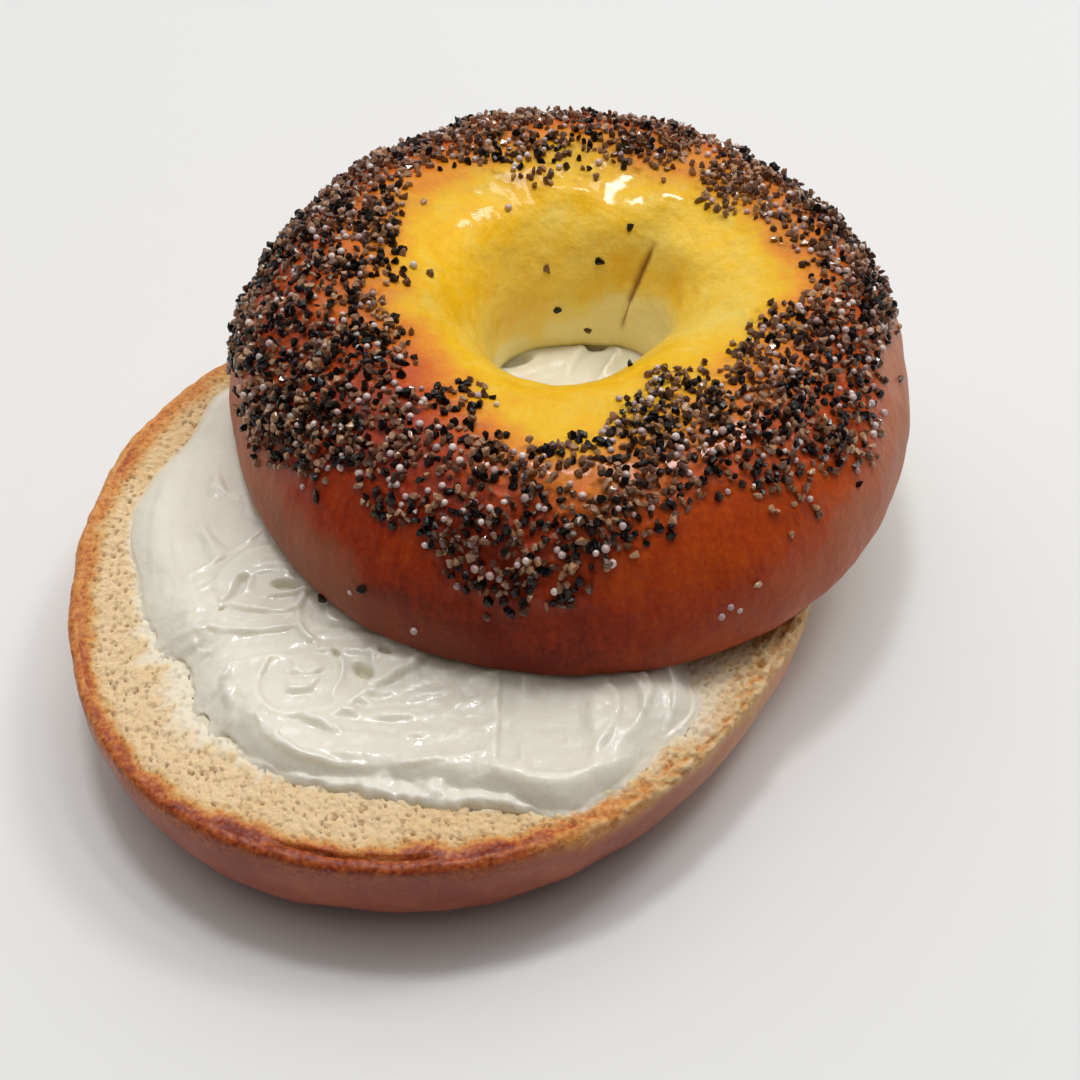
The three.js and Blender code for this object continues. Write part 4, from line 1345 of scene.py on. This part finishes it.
# %% Baked bread
def toasted_group():
    """The colour of crumb for a place and how toasted it is, with painted shade in its pits."""
    tree = new_tree("toasted", "ShaderNodeTree", [
        ("Place", "NodeSocketVector", None), ("Toast", "NodeSocketFloat", 0.3),
        ("Painted shade", "NodeSocketFloat", 0.0),
    ], [("Colour", "NodeSocketColor", None)])
    given = add(tree, "NodeGroupInput").outputs
    patches = mottle(tree, given["Place"], 170.0, 0.12)
    grains = mottle(tree, given["Place"], 1500.0, 0.36)
    toast = math_of(tree, "ADD", given["Toast"], math_of(tree, "ADD", patches, grains), clamp=True)
    colour = ramp(tree, toast, [
        (0.00, (230, 203, 160)), (0.30, (221, 184, 131)), (0.60, (213, 145, 74)), (0.80, (178, 90, 38)),
        (1.00, (120, 38, 14)),
    ])
    # painted shade: darker brown in the pits and the crack
    colour = blend_colour(tree, math_of(tree, "MULTIPLY", given["Painted shade"], 0.85), colour, (130, 76, 38))
    add(tree, "NodeGroupOutput", {"Colour": colour})
    return tree


TOASTED = toasted_group()
CRUMB_DIMPLES = 1700.0  # per metre
CRUMB_DENT = 0.22  # mm


def toasted_crumb():
    finish, tree, shader, place = new_finish("toasted_crumb", Roughness=0.70)
    colour = use_group(tree, TOASTED, {
        "Place": place, "Toast": mark(tree, "toast"), "Painted shade": mark(tree, "pit"),
    })
    height = use_group(tree, FINE_RELIEF, {"Place": place, "Dimples per metre": CRUMB_DIMPLES})
    feed(tree, shader, {"Base Color": colour, "Normal": bump(tree, height, CRUMB_DENT)})
    return finish


def baked_bread():
    finish, tree, shader, place = new_finish(
        "baked_bread", Specular_IOR_Level=0.35, Subsurface_Weight=0.2,
        Subsurface_Radius=(0.9, 0.5, 0.25), Subsurface_Scale=0.0012,
    )
    smear = mark(tree, "smear")
    thin = math_of(tree, "SUBTRACT", 1.0, smear)
    pit = math_of(tree, "MULTIPLY", mark(tree, "pit"), thin)
    colour = use_group(tree, TOASTED, {"Place": place, "Toast": mark(tree, "toast"), "Painted shade": pit})
    patches = mottle(tree, place, 90.0, 0.6)
    wall = ramp(tree, math_of(tree, "ADD", patches, 0.5, clamp=True), [
        (0.2, (138, 62, 43)), (0.5, (160, 80, 56)), (0.85, (186, 106, 74)),
    ])
    specks = mottle(tree, place, 700.0, 0.8)
    wall = blend_colour(tree, math_of(tree, "SUBTRACT", specks, 0.10, clamp=True), wall, (206, 146, 112))
    # painted light: a lighter tan on the sides of the wall, away from the front
    wall = blend_colour(tree, math_of(tree, "MULTIPLY", mark(tree, "tan"), 0.65), wall, (228, 160, 108))
    crust = mark(tree, "crust")
    colour = blend_colour(tree, crust, colour, wall)
    colour = blend_colour(tree, math_of(tree, "MULTIPLY", smear, 0.85), colour, (236, 229, 208))
    shine = math_of(tree, "MAXIMUM", math_of(tree, "MAXIMUM", crust, mark(tree, "melted")), smear)
    height = use_group(tree, FINE_RELIEF, {"Place": place, "Dimples per metre": CRUMB_DIMPLES})
    height = math_of(tree, "MULTIPLY", height, run_of(tree, shine, 1.0, 0.25))
    feed(tree, shader, {
        "Base Color": colour, "Roughness": run_of(tree, shine, 0.70, 0.40),
        "Normal": bump(tree, height, CRUMB_DENT),
    })
    return finish


# %% [markdown]
# ## Finish of the cheese
#
# Soft cheese is nearly white and lets light in a little way, which softens its shadows: that is subsurface
# scattering. It is moist, so every ridge carries a small highlight. Where it is only a film, it takes a
# little of the crumb's colour and scatters no light inside, because that light would be lost below it.

# %% Cheese
def moist_cheese():
    finish, tree, shader, place = new_finish(
        "moist_cheese", Roughness=0.32, Subsurface_Radius=(1.0, 0.94, 0.80), Subsurface_Scale=0.002,
        Coat_Roughness=0.07, Coat_Weight=0.35,
    )
    patches = mottle(tree, place, 120.0, 0.5)
    colour = ramp(tree, math_of(tree, "ADD", patches, 0.5, clamp=True), [
        (0.2, (228, 223, 207)), (0.8, (236, 233, 219)),
    ])
    thin = mark(tree, "thin")
    film = math_of(tree, "MULTIPLY", thin, 0.5)
    colour = blend_colour(tree, film, colour, (234, 224, 200))
    # painted shade: the knife's open pockets are tinted a darker olive, as shade in the hollows
    colour = blend_colour(tree, math_of(tree, "MULTIPLY", mark(tree, "pocket"), 0.6), colour, (196, 188, 150))
    height = use_group(tree, FINE_RELIEF, {"Place": place, "Dimples per metre": 620.0, "Blisters": 0.1})
    feed(tree, shader, {
        "Base Color": colour, "Subsurface Weight": run_of(tree, thin, 0.85, 0.0),
        "Normal": bump(tree, height, 0.20),
    })
    return finish


# %% [markdown]
# ## Finish of the seeds
#
# The seeds share the egg wash, so all of them shine, and small dents break that shine into glints. Each one
# carries a random tone from the sowing, and a ramp turns the tone into its own shade of its kind.

# %% Seeds
def seed_finish(name, stops, **sockets):
    finish, tree, shader, place = new_finish(name, **sockets)
    tone = math_of(tree, "ADD", mark(tree, "tone"), mottle(tree, place, 1400.0, 0.25), clamp=True)
    height = use_group(tree, FINE_RELIEF, {"Place": place, "Dimples per metre": 1500.0, "Detail": 1.0})
    feed(tree, shader, {"Base Color": ramp(tree, tone, stops), "Normal": bump(tree, height, 0.12)})
    return finish


SEED_FINISHES = {
    "black": seed_finish("black_seed", [
        (0.0, (8, 6, 7)), (0.6, (18, 13, 12)), (1.0, (44, 28, 22)),
    ], Roughness=0.32, Specular_IOR_Level=0.25, Coat_Weight=0.22, Coat_Roughness=0.05),
    "brown": seed_finish("brown_seed", [
        (0.0, (68, 40, 27)), (0.35, (112, 73, 50)), (0.7, (152, 108, 77)), (1.0, (194, 151, 113)),
    ], Roughness=0.34, Specular_IOR_Level=0.4, Coat_Weight=0.8, Coat_Roughness=0.05),
    "pale": seed_finish("pale_seed", [
        (0.0, (176, 146, 142)), (0.5, (204, 180, 176)), (1.0, (228, 214, 206)),
    ], Roughness=0.32, Coat_Weight=0.4, Coat_Roughness=0.08, Subsurface_Weight=0.3,
        Subsurface_Radius=(1.0, 0.6, 0.4), Subsurface_Scale=0.0006),
}

# %% Dress every piece
for piece, finish in (
    (crust, glazed_crust()), (low_half, baked_bread()), (upper_crumb, toasted_crumb()),
    (cheese, moist_cheese()),
):
    piece.data.materials.append(finish)
seeds = {kind: seeds_of(kind, finish) for kind, finish in SEED_FINISHES.items()}
for kind, piece in seeds.items():
    print(kind, "seeds:", triangles(piece), "triangles")

# %% [markdown]
# ## Body, stage, light and camera
#
# Nothing moves here, so every piece rides on the one body. Each piece names the plain solid that it stands
# for, and the material slot of the record that it belongs to.
#
# The stage is a pale table in a pale room. The room gives most of the light, from above and behind. Two
# small soft lamps draw the shadows: one nearly overhead, which is also the bright spot in the funnel, and
# one at the right. A long weak strip adds pale streaks where the egg was brushed on.

# %% Pieces and the solids they replace
PIECES = [
    (low_half, "bottom_half", "bread"), (cheese, "cheese_spread", "spread"),
    (crust, "top_half", "crust"), (upper_crumb, "top_half", "bread"), (seeds["black"], "top_half", "crust"),
    (seeds["brown"], "top_half", "crust"), (seeds["pale"], "top_half", "crust"),
]
for piece, node, slot in PIECES:
    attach(piece, "root")
    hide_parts(node)
    print(piece.name, "stands for", node)


# %% Table and light
def table_top():
    mesh = bmesh.new()
    bmesh.ops.create_grid(mesh, x_segments=4, y_segments=4, size=6.0)
    table = shape_of("table_top", mesh)
    bpy.context.scene.collection.objects.link(table)
    finish, tree, shader, place = new_finish("pale_table", Roughness=0.6, Specular_IOR_Level=0.2)
    colour = ramp(tree, mottle(tree, place, 12.0, 0.5), [(0.0, (228, 229, 229)), (1.0, (232, 233, 233))])
    feed(tree, shader, {"Base Color": colour})
    table.data.materials.append(finish)


# Each lamp hangs 1 m from the bagel: name, degrees round from +X, degrees above the table, width and depth
# in m, watts.
LAMPS = [
    ("lamp_behind", 108, 78.5, (0.15, 0.12), 2.3), ("lamp_right", 36, 57, (0.20, 0.20), 1.8),
    ("lamp_strip", 45, 73, (0.40, 0.06), 0.7),
]
LAMP_COLOUR = (0.99, 1.0, 1.01)
LAMPS_AIM = Vector((0, 0, 0.02))


def hang(name, towards, rise, size, watts):
    data = bpy.data.lights.new(name, "AREA")
    data.shape = "RECTANGLE"
    data.size, data.size_y = size
    data.energy = watts
    data.color = LAMP_COLOUR
    lamp = bpy.data.objects.new(name, data)
    flat = math.cos(rise * DEG)
    lamp.location = (flat * math.cos(towards * DEG), flat * math.sin(towards * DEG), math.sin(rise * DEG))
    lamp.rotation_euler = (LAMPS_AIM - lamp.location).to_track_quat("-Z", "Y").to_euler()
    lamp.visible_camera = False
    bpy.context.scene.collection.objects.link(lamp)


table_top()
for lamp in LAMPS:
    hang(*lamp)


def pale_room():
    """The room gives soft light, most of it from above and behind, and shows only dimly in what shines.

    Looked at directly it is pale all round.
    """
    world = bpy.data.worlds.new("pale_room")
    world.use_nodes = True
    tree = world.node_tree
    sky = tree.nodes["Background"]
    sky.inputs["Color"].default_value = (1.0, 0.97, 0.935, 1.0)
    way = add(tree, "ShaderNodeTexCoord").outputs["Generated"]
    facing = add(tree, "ShaderNodeVectorMath", {0: way, 1: (0.0, 0.55, 0.835)}, operation="DOT_PRODUCT")
    glow = add(tree, "ShaderNodeMapRange", {
        "Value": facing.outputs["Value"], "From Min": 0.42, "From Max": 0.95, "To Min": 0.12, "To Max": 1.30,
    })
    path = add(tree, "ShaderNodeLightPath").outputs
    share = run_of(tree, path["Is Glossy Ray"], 1.0, 0.45)
    given = math_of(tree, "MULTIPLY", glow.outputs["Result"], share)
    seen = math_of(tree, "MULTIPLY", path["Is Camera Ray"], 0.85)
    tree.links.new(math_of(tree, "MAXIMUM", given, seen), sky.inputs["Strength"])
    return world


bpy.context.scene.world = pale_room()
bpy.context.scene.view_settings.view_transform = "Standard"

# %% Camera
CAMERA = {"aim": (5.66, 5.87, 0.0), "distance": 306.6, "down": 46.5, "field": 30.0}


def place_camera():
    data = bpy.data.cameras.new("camera")
    data.angle = CAMERA["field"] * DEG
    data.clip_start = 0.01
    data.clip_end = 50
    camera = bpy.data.objects.new("camera", data)
    down = CAMERA["down"] * DEG
    back = Vector((0, -math.cos(down), math.sin(down))) * CAMERA["distance"]
    camera.location = (Vector(CAMERA["aim"]) + back) * MM
    camera.rotation_euler = ((90 - CAMERA["down"]) * DEG, 0, 0)
    bpy.context.scene.collection.objects.link(camera)
    bpy.context.scene.camera = camera
    return camera


print("camera at", [round(value, 4) for value in place_camera().location], "m")
